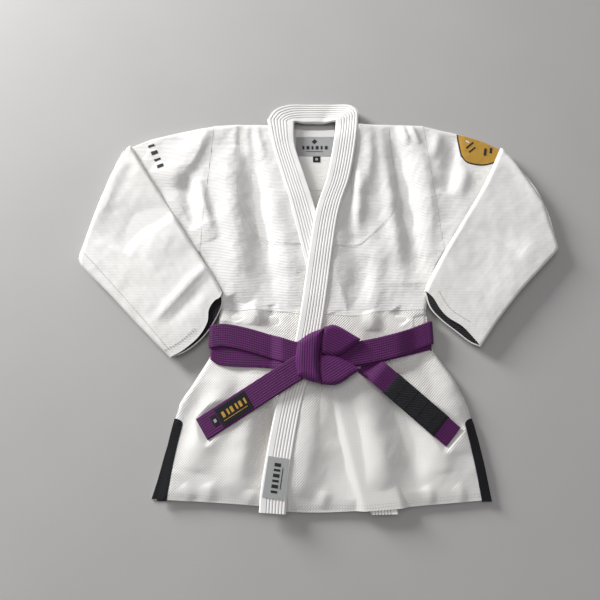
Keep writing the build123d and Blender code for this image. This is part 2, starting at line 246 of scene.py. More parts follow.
@dataclass(frozen=True)
class WovenCotton:
    """Plain coloured cotton with a woven relief.

    Attributes:
        name: material name.
        light: colour on top of the threads.
        dark: colour between the threads.
        weave: named weave.
        sheen: weight of the fuzzy sheen.
        stain: how strongly the colour varies over the piece.
    """

    name: str
    light: Colour
    dark: Colour
    weave: Weave
    sheen: float = 0.25
    stain: float = 0.5

    def build(self) -> Material:
        """Make the material.

        Returns:
            The cloth material.
        """
        tree = NodeTree(self.name)
        across, along, turn, relief = self.weave.value
        u, v = tree.uv()
        cosine, sine = math.cos(math.radians(turn)), math.sin(math.radians(turn))
        a = tree.math("ADD", tree.math("MULTIPLY", u, cosine), tree.math("MULTIPLY", v, sine))
        b = tree.math("SUBTRACT", tree.math("MULTIPLY", v, cosine), tree.math("MULTIPLY", u, sine))
        warp = tree.wave(a, across * MM)
        weft = tree.wave(b, along * MM)
        threads = tree.math("MULTIPLY", tree.math("ADD", warp, 0.5), tree.math("ADD", weft, 0.5))
        fuzz = tree.cloudy(900.0, 2.0)
        height = tree.math("ADD", threads, tree.math("MULTIPLY", fuzz, 0.5))
        tone = tree.mix(tree.ramp(threads, 0.0, 0.8), self.dark, self.light)
        worn = tuple(c * (1.0 - 0.09 * self.stain * w) for c, w in zip(self.light, (0.7, 1.0, 1.6)))
        cloud = tree.ramp(tree.cloudy(7.0, 4.0), 0.42, 0.72)
        patchy = tree.mix(tree.math("MULTIPLY", cloud, 0.6), tone, worn)
        tree.coat(patchy, fuzz, (-0.6, 1.2), self.sheen)
        tree.shader.inputs["Sheen Roughness"].default_value = 0.5
        tree.bump(height, relief * MM)
        return tree.material


@dataclass(frozen=True)
class StitchedWebbing:
    """Belt cotton with rows of stitching and a waffle of small pits.

    Attributes:
        name: material name.
        light: colour on the ribs.
        dark: colour in the pits.
        rows: stitch rows over the width of the strap.
        width: width of the strap in metres.
        pitch: length of one stitch in metres.
        waffled: how strongly the cross pits show, from 0 to 1.
    """

    name: str
    light: Colour
    dark: Colour
    rows: int = 10
    width: float = BELT_WIDTH * MM
    pitch: float = 0.0042
    waffled: float = 1.0

    def build(self) -> Material:
        """Make the material.

        Returns:
            The webbing material.
        """
        tree = NodeTree(self.name)
        u, v = tree.uv()
        row = tree.ramp(tree.wave(u, self.width / self.rows), 0.05, 0.55)
        stitch = tree.ramp(tree.wave(v, self.pitch), 0.0, 0.45)
        ribs = tree.math("ADD", tree.math("MULTIPLY", row, 0.75), 0.25)
        cross = tree.math("ADD", tree.math("MULTIPLY", stitch, 0.5 * self.waffled), 1.0 - 0.5 * self.waffled)
        waffle = tree.math("MULTIPLY", ribs, cross)
        fuzz = tree.cloudy(1100.0, 2.0)
        height = tree.math("ADD", waffle, tree.math("MULTIPLY", fuzz, 0.2))
        cloud = tree.ramp(tree.cloudy(30.0, 3.0), 0.3, 0.8)
        lit = tree.mix(cloud, self.light, tuple(c * 0.78 for c in self.light))
        tone = tree.mix(waffle, self.dark, lit)
        tree.coat(tone, fuzz, (-0.7, 1.1), 0.15, 0.3)
        tree.shader.inputs["Sheen Tint"].default_value = (0.75, 0.4, 0.72, 1.0)
        tree.bump(height, 0.0009)
        return tree.material


@dataclass(frozen=True)
class QuiltedBand:
    """Collar cotton whose stitch rows run along the band.

    Attributes:
        name: material name.
        light: colour of the cloth.
        dark: painted shade in the stitched grooves.
        first_row: distance of the first row from the inner edge in metres.
        row_pitch: distance from row to row in metres.
        stitch: pitch of the stitches in metres.
    """

    name: str
    light: Colour
    dark: Colour
    first_row: float = 0.01242
    row_pitch: float = 0.00529
    stitch: float = 0.0036

    def build(self) -> Material:
        """Make the material.

        Returns:
            The collar material.
        """
        tree = NodeTree(self.name)
        u, v = tree.uv()
        shifted = tree.math("SUBTRACT", u, self.first_row - self.row_pitch / 4)
        row = tree.math("POWER", tree.wave(shifted, self.row_pitch), 7.0)
        stitched = tree.ramp(u, self.first_row - 0.002, self.first_row - 0.0015)
        dash = tree.ramp(tree.wave(v, self.stitch), 0.25, 0.6)
        sewn = tree.math("MULTIPLY", row, stitched)
        # Painted shade: the stitched grooves are darkened, most at each stitch.
        groove = tree.math("MULTIPLY", sewn, tree.math("ADD", tree.math("MULTIPLY", dash, 0.6), 0.4))
        twill = tree.wave(tree.math("ADD", u, v), 0.0017)
        fuzz = tree.cloudy(900.0, 2.0)
        worn = tuple(c * 0.95 for c in self.light)
        cloth = tree.mix(tree.ramp(tree.cloudy(9.0, 3.0), 0.4, 0.7), self.light, worn)
        tone = tree.mix(groove, cloth, self.dark)
        tree.coat(tone, fuzz, (-0.6, 1.2), 0.25)
        height = tree.math("ADD", tree.math("MULTIPLY", twill, 0.25), tree.math("MULTIPLY", fuzz, 0.3))
        height = tree.math("SUBTRACT", height, tree.math("MULTIPLY", groove, 0.8))
        tree.bump(height, 0.0005)
        return tree.material


class Finishes:
    """All finishes of the uniform, built once."""

    def __init__(self) -> None:
        """Build every finish."""
        white, shade = (0.83, 0.81, 0.77), (0.66, 0.635, 0.59)

        def cotton(name: str, light: Colour, dark: Colour, weave: Weave, sheen: float = 0.25) -> Material:
            """Woven cotton of one colour."""
            return WovenCotton(name, light, dark, weave, sheen).build()

        self.pearl = cotton("pearl_weave", white, shade, Weave.PEARL)
        self.diamond = cotton("diamond_weave", (0.79, 0.765, 0.72), (0.63, 0.60, 0.55), Weave.DIAMOND)
        self.sleeve = cotton("sleeve_weave", (0.78, 0.76, 0.72), (0.66, 0.635, 0.59), Weave.SLEEVE)
        self.tape = cotton("white_tape", (0.85, 0.83, 0.80), (0.62, 0.60, 0.57), Weave.TWILL)
        self.black = cotton("black_twill", (0.010, 0.010, 0.012), (0.003, 0.003, 0.004), Weave.TWILL, 0.02)
        self.grey = cotton("grey_satin", (0.40, 0.40, 0.385), (0.33, 0.33, 0.32), Weave.SATIN, 0.1)
        self.ink = cotton("black_thread", (0.018, 0.017, 0.018), (0.006, 0.006, 0.006), Weave.SATIN, 0.05)
        self.gold = cotton("gold_thread", (0.56, 0.31, 0.04), (0.38, 0.20, 0.02), Weave.SATIN, 0.1)
        # Darker grey for seams and stitch rows: painted shade along the sewn lines.
        self.seam = cotton("seam_painted_shade", (0.60, 0.56, 0.53), (0.50, 0.46, 0.43), Weave.SATIN, 0.1)
        # The collar's darker colour is painted shade for its stitched grooves.
        self.lapel = QuiltedBand("lapel_band", white, (0.60, 0.56, 0.51)).build()
        knot, webbing = (0.108, 0.0075, 0.108), (0.118, 0.0085, 0.114)
        self.knot = StitchedWebbing("purple_knot", knot, (0.028, 0.002, 0.030), waffled=0.25).build()
        self.belt = StitchedWebbing("purple_webbing", webbing, (0.02, 0.0015, 0.023)).build()



# ---------------------------------------------------------------- cloth shapes


def smooth_line(points: Points, count: int) -> Grid:
    """Evenly spaced points along a smooth curve through a few points.

    Args:
        points: points to pass through.
        count: number of points wanted.

    Returns:
        Array of count points, of two or three numbers each.
    """
    p = np.array(points, float)
    if len(p) == 2:
        t = np.linspace(0, 1, count)[:, None]
        return p[0] * (1 - t) + p[1] * t
    padded = np.vstack([2 * p[0] - p[1], p, 2 * p[-1] - p[-2]])
    dense = []
    for i in range(len(p) - 1):
        a, b, c, d = padded[i : i + 4]
        t = np.linspace(0, 1, 24, endpoint=False)[:, None]
        dense.append(
            0.5 * (2 * b + (c - a) * t + (2 * a - 5 * b + 4 * c - d) * t**2 + (3 * b - a - 3 * c + d) * t**3)
        )
    dense = np.vstack(dense + [p[-1:]])
    run = np.concatenate([[0], np.cumsum(np.linalg.norm(np.diff(dense, axis=0), axis=1))])
    want = np.linspace(0, run[-1], count)
    return np.stack([np.interp(want, run, dense[:, k]) for k in range(dense.shape[1])], axis=1)


@dataclass(frozen=True)
class Fold:
    """One soft fold of the cloth, in millimetres.

    Attributes:
        line: crest of the fold.
        height: rise of the crest, negative for a valley.
        left: width of its flank on the left of the line's way.
        right: width of its flank on the right.
    """

    line: Points
    height: float
    left: float
    right: float

    def rise(self, x: Grid, y: Grid) -> Grid:
        """Height of the fold over points.

        Args:
            x: x of the points.
            y: y of the points.

        Returns:
            The rise at each point.
        """
        line = smooth_line(self.line, 14)
        best = np.full(x.shape, 1e9)
        side = np.zeros(x.shape)
        part = np.zeros(x.shape)
        for i in range(len(line) - 1):
            a, b = line[i], line[i + 1]
            d = b - a
            t = np.clip(((x - a[0]) * d[0] + (y - a[1]) * d[1]) / (d @ d), 0, 1)
            dx, dy = x - a[0] - t * d[0], y - a[1] - t * d[1]
            gap = dx * dx + dy * dy
            closer = gap < best
            best = np.where(closer, gap, best)
            side = np.where(closer, d[0] * dy - d[1] * dx, side)
            part = np.where(closer, (i + t) / (len(line) - 1), part)
        width = np.where(side > 0, self.left, self.right)
        ends = np.sin(np.pi * np.clip(part, 0.0, 1.0)) ** 0.6
        return self.height * ends * np.exp(-best / width**2)


def ripple(x: Grid, y: Grid, size: float, seed: float) -> Grid:
    """Small uneven waviness of cloth, from -1 to 1.

    Args:
        x: x of the points in millimetres.
        y: y of the points in millimetres.
        size: size of a wave in millimetres.
        seed: offset that makes each piece different.

    Returns:
        The waviness at each point.
    """
    dice = np.random.default_rng(int(seed * 10))
    total = np.zeros(x.shape)
    waves = dice.uniform(0, np.pi, 14), dice.uniform(0, 6.28, 14), dice.uniform(0.7, 2.4, 14)
    for turn, phase, pitch in zip(*waves):
        along = (x * np.cos(turn) + y * np.sin(turn)) / (size * pitch)
        across = (y * np.cos(turn) - x * np.sin(turn)) / (size * pitch * 2.3)
        total += pitch * np.sin(2 * np.pi * along + phase + 1.7 * np.sin(2 * np.pi * across + 2 * phase))
    return np.clip(total / 8.0, -1.5, 1.5)


def settle(piece: Piece, body: Body, slot: str, *nodes: str) -> Piece:
    """Fasten a finished piece to its body and hide the CAD nodes it stands for.

    Args:
        piece: the finished piece.
        body: body it moves with.
        slot: not used.
        nodes: CAD nodes it stands for.

    Returns:
        The same piece.
    """
    if nodes:
        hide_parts(*nodes)
    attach(piece, body.value)
    LOG.info("%s rides on %s, %d faces", piece.name, body.value, len(piece.data.polygons))
    return piece


# ---------------------------------------------------------------- lay of the cloth


@dataclass(frozen=True)
class Lid:
    """Something that lies on the cloth and presses it down.

    Attributes:
        outline: its outline seen from above.
        level: height of its underside at the point start.
        end_level: height of its underside at the point end.
        start: point where level holds.
        end: point where end_level holds.
    """

    outline: Points
    level: float
    end_level: float = 0.0
    start: tuple[float, float] = (0.0, 0.0)
    end: tuple[float, float] = (0.0, 0.0)

    def cap(self, x: Grid, y: Grid) -> Grid:
        """Highest level that the cloth's top may reach.

        Args:
            x: x of the points.
            y: y of the points.

        Returns:
            The level at each point.
        """
        level = np.full(x.shape, self.level)
        if self.start != self.end:
            ax, ay = self.start
            bx, by = self.end
            run = (bx - ax) ** 2 + (by - ay) ** 2
            part = np.clip(((x - ax) * (bx - ax) + (y - ay) * (by - ay)) / run, 0, 1)
            level = self.level + (self.end_level - self.level) * part
        return level + 0.55 * outside(self.outline, x, y)


def gap_to_line(line: Points, x: Grid, y: Grid) -> Grid:
    """Distance from points to a run of straight edges.

    Args:
        line: corners of the run.
        x: x of the points.
        y: y of the points.

    Returns:
        The distance at each point.
    """
    best = np.full(x.shape, 1e9)
    for a, b in zip(line[:-1], line[1:]):
        dx, dy = b[0] - a[0], b[1] - a[1]
        t = np.clip(((x - a[0]) * dx + (y - a[1]) * dy) / (dx * dx + dy * dy + 1e-9), 0, 1)
        best = np.minimum(best, np.hypot(x - a[0] - t * dx, y - a[1] - t * dy))
    return best


def outside(corners: Points, x: Grid, y: Grid) -> Grid:
    """Distance outside a closed outline, 0 within it.

    Args:
        corners: corners of the outline.
        x: x of the points.
        y: y of the points.

    Returns:
        The distance at each point.
    """
    closed = (*corners, corners[0])
    inside = np.zeros(x.shape, bool)
    for a, b in zip(closed[:-1], closed[1:]):
        crosses = (a[1] > y) != (b[1] > y)
        reach = a[0] + (y - a[1]) * (b[0] - a[0]) / (b[1] - a[1] + 1e-12)
        inside ^= crosses & (x < reach)
    return np.where(inside, 0.0, gap_to_line(closed, x, y))


def ease(value: Grid) -> Grid:
    """Smooth step from 0 to 1."""
    value = np.clip(value, 0, 1)
    return value * value * (3 - 2 * value)


def rounded(gap: Grid, radius: float) -> Grid:
    """Quarter-round profile, 0 at an edge and 1 further in than the radius."""
    return np.sqrt(1 - (1 - np.clip(gap / radius, 0, 1)) ** 2)


class Lay:
    """How the laid-out cloth rises and falls, shared by all plies that lie beside each other."""

    under_mid = 11.9
    over_mid = 18.8
    back_mid = 1.1
    over_lapel: Points = (
        (57.0, 356.0), (38.5, 223.0), (12.5, 134.0), (-22.0, -91.0), (-56.0, -211.0), (-79.0, -339.0),
        (-84.0, -393.0),
    )
    under_lapel: Points = (
        (-83.0, 358.0), (-70.0, 297.0), (-49.0, 223.0), (-27.0, 145.0), (30.0, -100.0), (104.0, -397.0),
    )
    right_rims: tuple[Points, ...] = (
        ((-384, 297), (-345, 315), (-285, 332), (-215, 347), (-150, 350), (-92, 350)),
        (
            (-459.5, 58), (-231, 63), (-222, 42), (-200, -10), (-188, -45), (-190, -80), (-197, -122),
            (-230, -180), (-252, -215), (-259, -244),
        ),
    )
    left_rims: tuple[Points, ...] = (
        ((66, 350), (120, 350), (216, 347), (280, 330), (330, 314), (371, 293)),
        (
            (459.5, 80), (241, 64), (226, 40), (207, -10), (198, -45), (199, -80), (206, -122), (238, -170),
            (258, -214), (265, -244),
        ),
    )
    rims: tuple[Points, ...] = right_rims + left_rims
    free_edges: tuple[Points, ...] = (
        (
            (-259, -244), (-270, -300), (-279, -377), (-156, -383), (-60, -395), (60, -392), (130, -386),
            (286, -377), (276, -300), (265, -244),
        ),
    )
    folds: tuple[Fold, ...] = (
        Fold(((-226, 338), (-252, 270), (-290, 205)), 4.0, 11, 34),
        Fold(((-240, 225), (-222, 150), (-202, 95)), 5.0, 10, 24),
        Fold(((-270, 250), (-262, 190), (-238, 120)), -4.5, 20, 14),
        Fold(((-330, 255), (-305, 235), (-270, 225)), 2.5, 16, 20),
        Fold(((-158, 345), (-133, 240), (-118, 143), (-100, 40), (-86, -40)), -6.0, 20, 34),
        Fold(((-176, 300), (-168, 175), (-153, 70), (-148, -30)), 6.0, 30, 30),
        Fold(((-126, 345), (-122, 316), (-110, 270)), 1.7, 7, 9),
        Fold(((-146, 347), (-146, 314), (-138, 262)), 1.6, 7, 9),
        Fold(((-168, 348), (-172, 312), (-172, 276)), 1.3, 7, 9),
        Fold(((-98, 200), (-62, 60), (-50, -40)), 3.0, 22, 26),
        Fold(((-172, -20), (-160, -44), (-150, -66)), -5.0, 12, 12),
        Fold(((-130, -30), (-119, -50), (-108, -70)), 6.0, 10, 14),
        Fold(((-92, -34), (-88, -54), (-80, -74)), -3.0, 9, 10),
        Fold(((150, 348), (158, 285), (172, 150), (184, 10)), -7.0, 22, 24),
        Fold(((126, 345), (140, 240), (146, 150), (158, 0)), 3.6, 18, 16),
        Fold(((104, 340), (104, 270), (92, 190)), 3.2, 12, 16),
        Fold(((78, 325), (64, 240), (60, 130), (66, 84)), -4.5, 9, 18),
        Fold(((84, 240), (78, 160), (70, 100)), 3.5, 12, 14),
        Fold(((96, 60), (70, -10), (52, -50)), -3.5, 26, 30),
        Fold(((120, 90), (104, 20), (96, -50)), 3.0, 18, 20),
        Fold(((196, 345), (208, 260), (216, 160), (208, 60)), 3.4, 16, 26),
        Fold(((280, 322), (268, 250), (250, 190)), -4.0, 12, 18),
        Fold(((300, 250), (286, 215), (272, 180)), 3.0, 12, 12),
        Fold(((246, 330), (240, 300), (228, 270)), 2.5, 12, 12),
        Fold(((170, 347), (176, 325), (184, 300)), 2.6, 6, 8),
        Fold(((188, 346), (196, 322), (206, 300)), 2.4, 6, 8),
        Fold(((28, -50), (34, -70), (38, -90)), -3.0, 14, 14),
        Fold(((92, -46), (96, -66), (98, -84)), 4.0, 12, 14),
        Fold(((140, -42), (150, -58), (158, -70)), -3.0, 12, 12),
        Fold(((-160, -160), (-196, -232), (-214, -330)), 5.5, 24, 30),
        Fold(((-120, -165), (-128, -260), (-150, -370)), 4.5, 22, 26),
        Fold(((-190, -180), (-236, -250), (-250, -330)), -3.5, 18, 20),
        Fold(((-96, -190), (-92, -260), (-112, -350)), -4.0, 16, 22),
        Fold(((0, -190), (-16, -270), (-30, -370)), 4.0, 22, 24),
        Fold(((30, -190), (48, -290), (50, -372)), -5.0, 22, 24),
        Fold(((62, -186), (92, -280), (112, -365)), 4.6, 20, 26),
        Fold(((110, -175), (150, -265), (160, -360)), -5.5, 20, 24),
        Fold(((150, -160), (196, -240), (214, -330)), 5.0, 24, 24),
        Fold(((196, -140), (236, -220), (246, -300)), 4.0, 18, 22),
        Fold(((-238, -350), (-228, -362), (-222, -374)), 2.5, 10, 12),
        Fold(((-196, -348), (-190, -362), (-188, -376)), 2.2, 9, 10),
        Fold(((-120, -358), (-122, -372), (-122, -382)), 2.2, 9, 10),
        Fold(((4, -360), (2, -374), (0, -388)), 2.4, 8, 10),
        Fold(((96, -360), (98, -374), (98, -386)), 2.4, 9, 10),
        Fold(((176, -352), (182, -366), (184, -380)), 2.6, 9, 10),
        Fold(((228, -350), (236, -364), (238, -378)), 2.4, 8, 10),
    )
    right_forearm: Points = (
        (-384, 297), (-338, 226), (-250, 90), (-184, -6), (-182, -40), (-264, -123), (-459, 58),
    )
    left_forearm: Points = ((371, 287), (331, 216), (240, 72), (194, -6), (200, -40), (284, -116), (459, 80))
    lids: tuple[Lid, ...] = (
        Lid(right_forearm, 12.8),
        Lid(left_forearm, 12.8),
        Lid(((-206, -66), (-86, -78), (-86, -160), (-206, -146)), 12.9),
        Lid(((172, -60), (214, -50), (214, -132), (172, -146)), 12.9),
        Lid(((-86, -78), (172, -60), (172, -146), (0, -170), (-86, -160)), 24.2),
        Lid(((-74, -150), (-53, -186), (-198, -277), (-221, -241)), 30.5, 12.8, (-64, -168), (-209, -259)),
        Lid(((118, -150), (91, -182), (214, -287), (242, -256)), 30.5, 12.8, (104, -166), (228, -271.5)),
    )
    covered: Points = ((57, 356), (30, 134), (0, -91), (-70, -393), (120, -400), (120, 356))
    fold_gain = 1.85
    wave_rise, wave_size = 1.5, 62.0
    wrinkle_rise, wrinkle_size = 0.35, 17.0
    lowest = 3.4

    @classmethod
    def drape(cls, x: Grid, y: Grid) -> Grid:
        """Sum of all folds and of the cloth's own waviness.

        Args:
            x: x of the points.
            y: y of the points.

        Returns:
            The rise at each point.
        """
        total = cls.fold_gain * sum(fold.rise(x, y) for fold in cls.folds)
        total = total + cls.wave_rise * ripple(x, y, cls.wave_size, 3.0)
        return total + cls.wrinkle_rise * ripple(x, y, cls.wrinkle_size, 9.0)

    @classmethod
    def raised(cls, x: Grid, y: Grid) -> Grid:
        """How far the over front is lifted by the collar beneath it, from 0 to 1.

        Args:
            x: x of the points.
            y: y of the points.

        Returns:
            The share of the lift.
        """
        under = ease(1 - (gap_to_line(cls.under_lapel, x, y) - 27) / 52)
        over = ease(1 - (gap_to_line(cls.over_lapel, x, y) - 23) / 46)
        return np.maximum(under, over)

    @classmethod
    def front(cls, x: Grid, y: Grid, over: bool) -> Grid:
        """Middle height of a front ply.

        Args:
            x: x of the points.
            y: y of the points.
            over: whether the ply is the left one, lapped over.

        Returns:
            The height at each point.
        """
        wave = cls.drape(x, y)
        if over:
            lift = cls.raised(x, y)
            base = cls.under_mid + (cls.over_mid - cls.under_mid) * lift
            beneath = ease(1 - (gap_to_line(cls.under_lapel, x, y) - 27) / 30)
            least = cls.lowest + (cls.over_mid - cls.lowest) * beneath
        else:
            base = np.full(x.shape, cls.under_mid)
            least = np.full(x.shape, cls.lowest)
            hidden = outside(cls.covered, x, y)
            wave = np.minimum(wave, 4.4 + 0.5 * hidden)
        z = np.maximum(base + wave, least)
        for lid in cls.lids:
            z = np.minimum(z, lid.cap(x, y) - 1.0)
        z = np.maximum(z, 3.2)
        for rim in cls.rims:
            z = 3.0 + (z - 3.0) * rounded(gap_to_line(rim, x, y) + 0.01, 9.5)
        for edge in cls.free_edges:
            z = z - (z - 4.6) * 0.55 * np.exp(-((gap_to_line(edge, x, y) / 26) ** 1.2))
        return np.maximum(z, least) if over else z


def coons(
    south: Points, east: Points, north: Points, west: Points, rows: int, columns: int, fine: float = 0.0
) -> Grid:
    """Points of a four-sided cloth pattern.

    Args:
        south: lower edge from west to east.
        east: east edge from south to north.
        north: upper edge from west to east.
        west: west edge from south to north.
        rows: number of rows.
        columns: number of columns.
        fine: how strongly the rows and columns crowd to the edges, from 0 to 1.

    Returns:
        Array of rows x columns x 2 numbers.
    """

    def crowd(count: int) -> Grid:
        """Shares from 0 to 1, closer together at both ends."""
        t = np.linspace(0, 1, count)
        return (1 - fine) * t + fine * (0.5 - 0.5 * np.cos(np.pi * t))

    many = 400
    s, n = smooth_line(south, many), smooth_line(north, many)
    w, e = smooth_line(west, many), smooth_line(east, many)
    u, v = crowd(columns), crowd(rows)
    steps = np.linspace(0, 1, many)

    def at(line: Grid, t: Grid) -> Grid:
        """Points of a line at shares of its length."""
        return np.stack([np.interp(t, steps, line[:, k]) for k in range(2)], axis=1)

    lower, upper, left, right = at(s, u), at(n, u), at(w, v), at(e, v)
    uu, vv = u[None, :, None], v[:, None, None]
    plan = (1 - vv) * lower[None] + vv * upper[None] + (1 - uu) * left[:, None] + uu * right[:, None]
    plan -= (1 - uu) * (1 - vv) * s[0] + uu * (1 - vv) * s[-1] + (1 - uu) * vv * n[0] + uu * vv * n[-1]
    return plan


def flat_pattern(places: Grid) -> Grid:
    """Flat lengths along the columns and rows of a grid, in millimetres.

    Args:
        places: rows x columns x 3 array.

    Returns:
        Array of rows x columns x 2 numbers.
    """
    middle_row, middle_column = places[len(places) // 2], places[:, places.shape[1] // 2]
    u = np.concatenate([[0], np.cumsum(np.linalg.norm(np.diff(middle_row, axis=0), axis=1))])
    v = np.concatenate([[0], np.cumsum(np.linalg.norm(np.diff(middle_column, axis=0), axis=1))])
    return np.stack(np.broadcast_arrays(u[None, :], v[:, None]), axis=-1).astype(float)


class Ply:
    """A closed sheet of cloth made from a grid of middle points."""

    @staticmethod
    def normals(places: Grid, around: bool) -> Grid:
        """Unit normals of a grid.

        Args:
            places: rows x columns x 3 array.
            around: whether the last column meets the first.

        Returns:
            Array of the same shape.
        """
        if around:
            du = np.roll(places, -1, axis=1) - np.roll(places, 1, axis=1)
        else:
            du = np.gradient(places, axis=1)
        dv = np.gradient(places, axis=0)
        n = np.cross(du, dv)
        return n / np.maximum(np.linalg.norm(n, axis=2, keepdims=True), 1e-9)

    @staticmethod
    def make(
        name: str, places: Grid, thickness: Grid | float, material: Material, around: bool = False,
        flat: Grid | None = None,
    ) -> Piece:
        """Make the sheet with its own thickness and closed edges.

        Args:
            name: name of the piece.
            places: rows x columns x 3 array of middle points in millimetres.
            thickness: thickness in millimetres, one for all or one for each point.
            material: finish of the outside.
            around: whether the last column joins the first.
            flat: flat pattern in millimetres.

        Returns:
            The new object.
        """
        half = np.broadcast_to(np.asarray(thickness, float), places.shape[:2])[..., None] / 2
        normal = Ply.normals(places, around)
        return Ply.between(name, places + normal * half, places - normal * half, material, around, flat)

    @staticmethod
    def between(
        name: str, top: Grid, low: Grid, material: Material, around: bool = False, flat: Grid | None = None
    ) -> Piece:
        """Make a closed body between an outer and an inner grid.

        Args:
            name: name of the piece.
            top: outer points.
            low: inner points.
            material: finish of the outside.
            around: whether the last column joins the first.
            flat: flat pattern in millimetres.

        Returns:
            The new object.
        """
        rows, columns = top.shape[:2]
        flat = flat_pattern((top + low) / 2) if flat is None else flat
        count = rows * columns
        index = np.arange(count).reshape(rows, columns)
        if around:
            index = np.concatenate([index, index[:, :1]], axis=1)
            last = 2 * flat[:, -1:] - flat[:, -2:-1]
            flat_wide = np.concatenate([flat, last], axis=1)
        else:
            flat_wide = flat

        def quads(grid: Grid) -> Grid:
            """Corners of each cell, counter-clockwise."""
            cells = [grid[:-1, :-1], grid[:-1, 1:], grid[1:, 1:], grid[1:, :-1]]
            return np.stack(cells, axis=2).reshape(-1, 4, *grid.shape[2:])

        upper, under = quads(index), quads(index)[:, ::-1] + count
        uv_up, uv_low = quads(flat_wide), quads(flat_wide)[:, ::-1]
        walls, uv_walls = [], []

        def wall(line: Grid, marks: Grid) -> None:
            """Close one edge between the outer and the inner grid.

            Args:
                line: numbers of the outer grid's points along the edge.
                marks: flat pattern along the edge.
            """
            a, b = line[:-1], line[1:]
            walls.append(np.stack([b, a, a + count, b + count], axis=1))
            ma, mb = marks[:-1], marks[1:]
            uv_walls.append(np.stack([mb, ma, ma + (0.6, 0.0), mb + (0.6, 0.0)], axis=1))

        wall(index[0], flat_wide[0])
        wall(index[-1][::-1], flat_wide[-1][::-1])
        if not around:
            wall(index[:, -1], flat_wide[:, -1])
            wall(index[:, 0][::-1], flat_wide[:, 0][::-1])
        faces = np.concatenate([upper, under, *walls])
        uv = np.concatenate([uv_up, uv_low, *uv_walls]).reshape(-1, 2)
        mesh = bpy.data.meshes.new(name)
        points = np.concatenate([top.reshape(-1, 3), low.reshape(-1, 3)]) * MM
        mesh.from_pydata(points.tolist(), [], faces.tolist())
        layer = mesh.uv_layers.new(name="flat")
        layer.data.foreach_set("uv", (uv * MM).ravel())
        mesh.polygons.foreach_set("use_smooth", [True] * len(mesh.polygons))
        mesh.materials.append(material)
        piece = bpy.data.objects.new(name, mesh)
        bpy.context.scene.collection.objects.link(piece)
        Ply.tidy(piece)
        return piece

    @staticmethod
    def tidy(piece: Piece) -> None:
        """Merge doubled points, turn faces outwards and keep the cut edges crisp.

        Args:
            piece: the piece to tidy.
        """
        work = bmesh.new()
        work.from_mesh(piece.data)
        bmesh.ops.remove_doubles(work, verts=work.verts, dist=2e-6)
        bmesh.ops.dissolve_degenerate(work, dist=1e-7, edges=work.edges)
        bmesh.ops.recalc_face_normals(work, faces=work.faces)
        for edge in work.edges:
            if len(edge.link_faces) == 2 and edge.calc_face_angle(0.0) > math.radians(55):
                edge.smooth = False
        work.to_mesh(piece.data)
        work.free()


def with_height(plan: Grid, z: Grid | float) -> Grid:
    """Add heights to a plan grid."""
    return np.concatenate([plan, np.broadcast_to(np.asarray(z, float), plan.shape[:2])[..., None]], axis=2)


@dataclass
class BodyBack:
    """Back of the jacket: upper back and back skirt.

    Attributes:
        belt_rise: height of the hump over the belt behind the waist.
        thickness: thickness of the cloth.
    """

    finishes: Finishes
    belt_rise: float = 8.9
    thickness: float = CLOTH

    def hump(self, y: Grid) -> Grid:
        """Middle height of the back ply where it climbs over the belt."""
        rise = ease((y + 152) / 14) * ease((-46 - y) / 14)
        return Lay.back_mid + self.belt_rise * rise

    def upper_back(self) -> Piece:
        """Upper back from shoulders to waist seam.

        Returns:
            The piece.
        """
        plan = coons(
            ((-187, -45), (0, -45), (197, -45)),
            ((197, -45), (224, 40), (239, 62), (226, 200), (215, 346)),
            ((-214, 346), (-108, 348), (0, 340), (90, 348), (215, 346)),
            ((-187, -45), (-214, 40), (-229, 62), (-220, 200), (-214, 346)),
            90,
            100,
        )
        z = Lay.back_mid + 0.25 + 0.2 * ripple(plan[..., 0], plan[..., 1], 40, 5.0)
        z = np.where(plan[..., 1] < -38, self.hump(plan[..., 1]), z)
        piece = Ply.make("upper_back", with_height(plan, z), self.thickness, self.finishes.pearl)
        return settle(piece, Body.JACKET, "body_cloth", "back_panel")

    def skirt(self) -> Piece:
        """Back skirt from the waist seam to the hem.

        Returns:
            The piece.
        """
        plan = coons(
            ((-292, -375), (-150, -372), (0, -372), (150, -372), (286, -375)),
            ((286, -375), (276, -300), (262, -244), (204, -122), (197, -45.5)),
            ((-187, -45.5), (0, -45.5), (197, -45.5)),
            ((-292, -375), (-272, -300), (-256, -244), (-196, -122), (-187, -45.5)),
            110,
            110,
        )
        x, y = plan[..., 0], plan[..., 1]
        z = self.hump(y) + 0.25 + 0.2 * ripple(x, y, 40, 6.0)
        piece = Ply.make("back_skirt_cloth", with_height(plan, z), self.thickness, self.finishes.diamond)
        return settle(piece, Body.JACKET, "skirt_cloth", "back_skirt")

    def neck_patch(self) -> Piece:
        """Second ply inside the back of the neck.

        Returns:
            The piece.
        """
        sw, se, ne, nw = (-150, 204), (150, 204), (150, 330), (-150, 330)
        plan = coons((sw, se), (se, ne), (nw, ne), (sw, nw), 24, 50)
        piece = Ply.make("back_neck_patch", with_height(plan, 2.85), 0.7, self.finishes.pearl)
        return settle(piece, Body.JACKET, "body_cloth", "back_neck_reinforcement")


